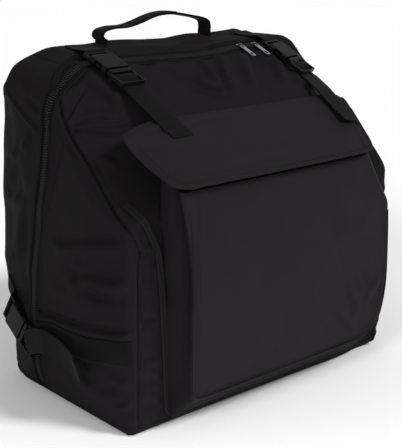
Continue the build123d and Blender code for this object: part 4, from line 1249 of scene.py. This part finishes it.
# webbing over the crown, from its seam to the socket's bar
for side, back_deg in (("left", -11.0), ("right", 10.0)):
    O, u, v = BUCKLE[side]
    w = np.cross(u, v)
    g = math.radians(back_deg)
    hb = np.array([-math.sin(g), math.cos(g), 0.0])
    pts = [O + u * a + w * c for a, c in ((-4.5, 2.0), (-8.0, 2.4), (-12.5, 6.4), (-16.0, 7.4))]
    base_p = O + u * -16.0
    for d in (10, 22, 34, 46, 56):
        q, nn = on_shell((base_p + hb * d) + np.array([0, 0, 6.0]))
        top = SHELL_BVH.ray_cast(Vector((float(q[0]), float(q[1]), 620)), Vector((0, 0, -1)))
        z = top[0][2] if top[0] is not None else q[2]
        lift = 5.2 if d < 15 else (2.6 if d < 26 else 1.3)
        pts.append(np.array([base_p[0] + hb[0] * d, base_p[1] + hb[1] * d, z + lift]))
    path = spline(pts, 80)
    L = np.concatenate([[0], np.cumsum(np.linalg.norm(path[1:] - path[:-1], axis=1))])
    mix = smooth01((L - 8) / 40.0)[:, None]
    W = v * (1 - mix) + np.array([math.cos(g), math.sin(g), 0.0]) * mix
    st = strap(side + "_crown_webbing", path, W, 38.0, 1.8, wave=0.2, seed=31, cup=-0.3)
    if side == "left":
        finish_piece(st, "webbing", "back_lid", "top_strap_webbing")
    else:
        finish_piece(st, "webbing", "back_lid")

def side_hit(sd, y, z):
    """The side wall's surface at a height and depth, seen from the side."""
    h = SHELL_BVH.ray_cast(Vector((sd * 420.0, y, z)), Vector((-sd, 0, 0)))
    if h[0] is None or h[0][0] * sd < 150:
        q, nn = on_shell((sd * 262.0, y, z))
        return q, nn
    return np.array(h[0]), np.array(h[1])


for sd, side in ((-1, "left"), (1, "right")):
    rise, lift = math.radians(3.0), math.radians(2.6)
    u = np.array([sd * math.sin(lift), -math.cos(rise) * math.cos(lift), math.sin(rise) * math.cos(lift)])
    v0 = np.array([0, math.sin(rise), math.cos(rise)])
    o = np.array([sd * 282.8, 68.967, 81.74])
    w = np.cross(u, v0)
    w = w if w[0] * sd > 0 else -w
    pts = [(-3, 1.4, 0), (8, 1.6, 3.0), (26, 2.4, 9.5), (48, 3.2, 14.0), (72, 2.6, 14.0), (96, 2.4, 10.0), (122, 3.4, 4.0), (142, 5.5, -1.5), (154, 7.5, -4.5)]
    path = spline([o + u * a + w * b + v0 * c for a, b, c in pts], 100)
    n = len(path)
    k = np.linspace(0, 1, n)
    Wn = np.tile(v0, (n, 1)) - np.outer(0.80 * k ** 1.8, u) + np.outer(0.10 * smooth01((k - 0.5) / 0.5), w)
    st = strap(side + "_side_tail_webbing", path, Wn, 38.0, 2.0, wave=0.3, seed=5 + sd, cup=-0.4)
    finish_piece(st, "webbing", side + "_side_tail", side + "_side_strap_tail")
    q = int(n * 0.9)
    hem = strap(side + "_side_tail_webbing_hem", path[q:] + w * 1.9, Wn[q:], 37.4, 1.9, cup=-0.4)
    finish_piece(hem, "webbing", side + "_side_tail")

    # the sewn band that runs from the plug's bar to the front corner seam, lying on the wall
    top_e = spline([(52, 113), (46, 118), (13, 127), (-25, 128), (-80, 132), (-122, 137), (-146, 141)], 90)
    rows_, cols_ = 90, 11
    top_e = np.stack([np.interp(np.linspace(0, 1, rows_), np.linspace(0, 1, len(top_e)), top_e[:, k2]) for k2 in range(2)], 1)
    vv = []
    for i in range(rows_):
        yb, zb = top_e[i]
        for j2 in range(cols_):
            t = j2 / (cols_ - 1)
            low = 35.5 + 2.0 * (i / rows_)
            hit, nn = side_hit(sd, yb + (0.5 - t) * 0 - t * 6.0 * max(0, 1 - i / 18), zb - low * t)
            bow = 1.15 + 0.5 * math.sin(math.pi * t)
            vv.append(hit + nn * bow)
    V = np.array(vv).reshape(rows_, cols_, 3)
    for _ in range(5):
        V[1:-1] = (V[:-2] + 2 * V[1:-1] + V[2:]) / 4
    V = V.reshape(-1, 3)
    F = [(i * cols_ + j2, (i + 1) * cols_ + j2, (i + 1) * cols_ + j2 + 1, i * cols_ + j2 + 1) for i in range(rows_ - 1) for j2 in range(cols_ - 1)]
    if sd > 0:
        F = [f[::-1] for f in F]
    bo = new_object(side + "_side_band", V, F)
    b3 = bmesh.new()
    b3.from_mesh(bo.data)
    b3.normal_update()
    if sum(f.normal.x for f in b3.faces) * sd < 0:
        bmesh.ops.reverse_faces(b3, faces=b3.faces)
    b3.to_mesh(bo.data)
    b3.free()
    m = bo.modifiers.new("thick", "SOLIDIFY")
    m.thickness = 2.6 * MM
    m.offset = -0.4
    if sd < 0:
        finish_piece(bo, "webbing", "front_shell", "side_strap_anchors")
    else:
        finish_piece(bo, "webbing", "front_shell")

    # webbing from the socket's bar back to the corner seam
    so = np.array([sd * 273.6, 117.0, 116.0])
    su = np.array([0, -math.cos(math.radians(35.5)), -math.sin(math.radians(35.5))])
    sx = np.array([sd, 0.0, 0.0])
    sv = np.cross(su, sx)
    vv = []
    al = np.linspace(8.4, 56, 44)
    cols_ = 13
    for a in al:
        for q2 in np.linspace(-18.6, 18.6, cols_):
            loose = so - su * a + sv * q2 + sx * np.interp(a, [8.4, 10.4, 14.5, 22], [6.6, 8.2, 7.2, 4.0])
            hit, nn = on_shell(so - su * a + sv * q2 + sx * 2.0)
            tight = hit + nn * 1.5
            t = float(smooth01(np.array((a - 12) / 16)))
            vv.append(loose * (1 - t) + tight * t)
    V = np.array(vv).reshape(len(al), cols_, 3)
    for _ in range(6):
        V[1:-1] = (V[:-2] + 2 * V[1:-1] + V[2:]) / 4
    V = V.reshape(-1, 3)
    F = [(i * cols_ + j2, (i + 1) * cols_ + j2, (i + 1) * cols_ + j2 + 1, i * cols_ + j2 + 1) for i in range(len(al) - 1) for j2 in range(cols_ - 1)]
    so_ = new_object(side + "_side_socket_webbing", V, F)
    b3 = bmesh.new()
    b3.from_mesh(so_.data)
    b3.normal_update()
    if sum(f.normal.x for f in b3.faces) * sd < 0:
        bmesh.ops.reverse_faces(b3, faces=b3.faces)
    b3.to_mesh(so_.data)
    b3.free()
    m = so_.modifiers.new("thick", "SOLIDIFY")
    m.thickness = 1.9 * MM
    m.offset = -0.4
    if sd < 0:
        finish_piece(so_, "webbing", "back_lid", "side_strap_webbing")
    else:
        finish_piece(so_, "webbing", "back_lid")

# ------------------------------------------------------------------ carry handle
hp = [(-106, 11.6), (-109.5, 17.5), (-104, 24.5), (-86, 28), (-62, 28.5), (-40, 32.5), (-14, 40), (10, 44.5), (34, 44.2), (60, 40), (88, 34.5), (102, 29), (105.5, 21), (105, 11.6)]
path = spline([(x, HANDLE_Y, TOP + z) for x, z in hp], 150)
hd = strap("carry_handle_webbing", path, (0, 1, 0), 30.0, 3.4, wave=0.25, seed=9)
finish_piece(hd, "webbing", "handle", "carry_handle")
# folded and stitched grip along the middle
k0, k1 = int(len(path) * 0.30), int(len(path) * 0.66)
grip = strap("carry_handle_grip", path[k0:k1] + np.array([0, 0, 0.2]), (0, 1, 0), 25.0, 5.4, wave=0.2, seed=9)
finish_piece(grip, "webbing", "handle")

# ------------------------------------------------------------------ back pads
for sd in (-1, 1):
    x0 = sd * 96.0
    pp = []
    for z, wd, y in ((432, 58, 186.5), (418, 66, 185), (300, 66, 184), (216, 62, 184), (206, 44, 184)):
        for a, b in ((-0.5, -4.2), (0.5, -4.2), (0.5, 4.2), (-0.5, 4.2)):
            pp.append((x0 + a * wd, y + b, z))
    pad = hull(np.array(pp), "pad_form_%d" % sd)
    remesh(pad, 3.0)
    Cp = relax(pad, 6)
    Np = normals(pad)
    face = smooth01((np.abs(Np[:, 1]) - 0.4) / 0.4)
    e = 1 - np.clip(np.abs(Cp[:, 0] - x0) / 31.0, 0, 1) ** 3
    dd = 1.2 * face * e + 0.35 * perlin(Cp / 30 + 4)
    for off in (-25.5, 25.5):
        dd += -1.0 * face * np.exp(-((Cp[:, 0] - x0 - off) / 1.6) ** 2)
    Cp = Cp + Np * dd[:, None]
    Cp[:, 1] = np.clip(Cp[:, 1], 178.6, 191.5)
    set_coords(pad, Cp)
    pad.name = ("left" if sd < 0 else "right") + "_shoulder_pad"
    pad.data.polygons.foreach_set("use_smooth", [True] * len(pad.data.polygons))
    if sd < 0:
        finish_piece(pad, "pad_fabric", "back_lid", "shoulder_pads")
    else:
        finish_piece(pad, "pad_fabric", "back_lid")

# ------------------------------------------------------------------ small plastic and metal parts keep their CAD shapes

# ------------------------------------------------------------------ floor, light, camera
bpy.ops.mesh.primitive_plane_add(size=14, location=(0, 0, -0.0005))
floor = bpy.context.object
floor.name = "studio_floor"
fm = shader("studio_floor", (0.93, 0.93, 0.93), 0.9, specular=0.1)
floor.data.materials.append(fm)

world = bpy.data.worlds.new("studio")
bpy.context.scene.world = world
world.use_nodes = True
wt = world.node_tree
sky = wt.nodes["Background"]
sky.inputs[0].default_value = (1, 1, 1, 1)
sky.inputs[1].default_value = 0.45
seen = wt.nodes.new("ShaderNodeBackground")
seen.inputs[0].default_value = (1, 1, 1, 1)
seen.inputs[1].default_value = 1.0
lp = wt.nodes.new("ShaderNodeLightPath")
wm = wt.nodes.new("ShaderNodeMixShader")
wt.links.new(lp.outputs["Is Camera Ray"], wm.inputs[0])
wt.links.new(sky.outputs[0], wm.inputs[1])
wt.links.new(seen.outputs[0], wm.inputs[2])
wt.links.new(wm.outputs[0], wt.nodes["World Output"].inputs["Surface"])


def area(name, loc, target, size, power, size_y=None):
    li = bpy.data.lights.new(name, "AREA")
    li.energy = power
    li.shape = "RECTANGLE"
    li.size = size
    li.size_y = size_y or size
    ob = bpy.data.objects.new(name, li)
    ob.location = loc
    ob.rotation_mode = "QUATERNION"
    ob.rotation_quaternion = (Vector(target) - Vector(loc)).to_track_quat("-Z", "Y")
    COL.objects.link(ob)
    return ob


def sun(name, toward, power, spread):
    li = bpy.data.lights.new(name, "SUN")
    li.energy = power
    li.angle = math.radians(spread)
    ob = bpy.data.objects.new(name, li)
    ob.rotation_mode = "QUATERNION"
    ob.rotation_quaternion = (-Vector(toward)).to_track_quat("-Z", "Y")
    COL.objects.link(ob)
    return ob


sun("key", (0.40, -0.72, 0.72), 2.25, 15)
sun("fill", (-0.86, -0.30, 0.52), 1.0, 16)
bounce = area("bounce", (-0.26, -0.44, 0.012), (-0.06, -0.17, 0.03), 0.8, 1.1, 0.12)
bounce.visible_camera = False

AZ, EL = math.radians(-41.5), math.radians(15.7)
back = Vector((math.sin(AZ) * math.cos(EL), -math.cos(AZ) * math.cos(EL), math.sin(EL)))
cd = bpy.data.cameras.new("camera")
cd.sensor_width = 36
cd.sensor_fit = "AUTO"
cd.lens = 82.85
cam = bpy.data.objects.new("camera", cd)
COL.objects.link(cam)
cam.location = Vector((-0.001, 0, 0.2257)) + back * 1.6203
cam.rotation_mode = "QUATERNION"
cam.rotation_quaternion = (-back).to_track_quat("-Z", "Y")
bpy.context.scene.camera = cam
bpy.context.scene.view_settings.view_transform = "Standard"
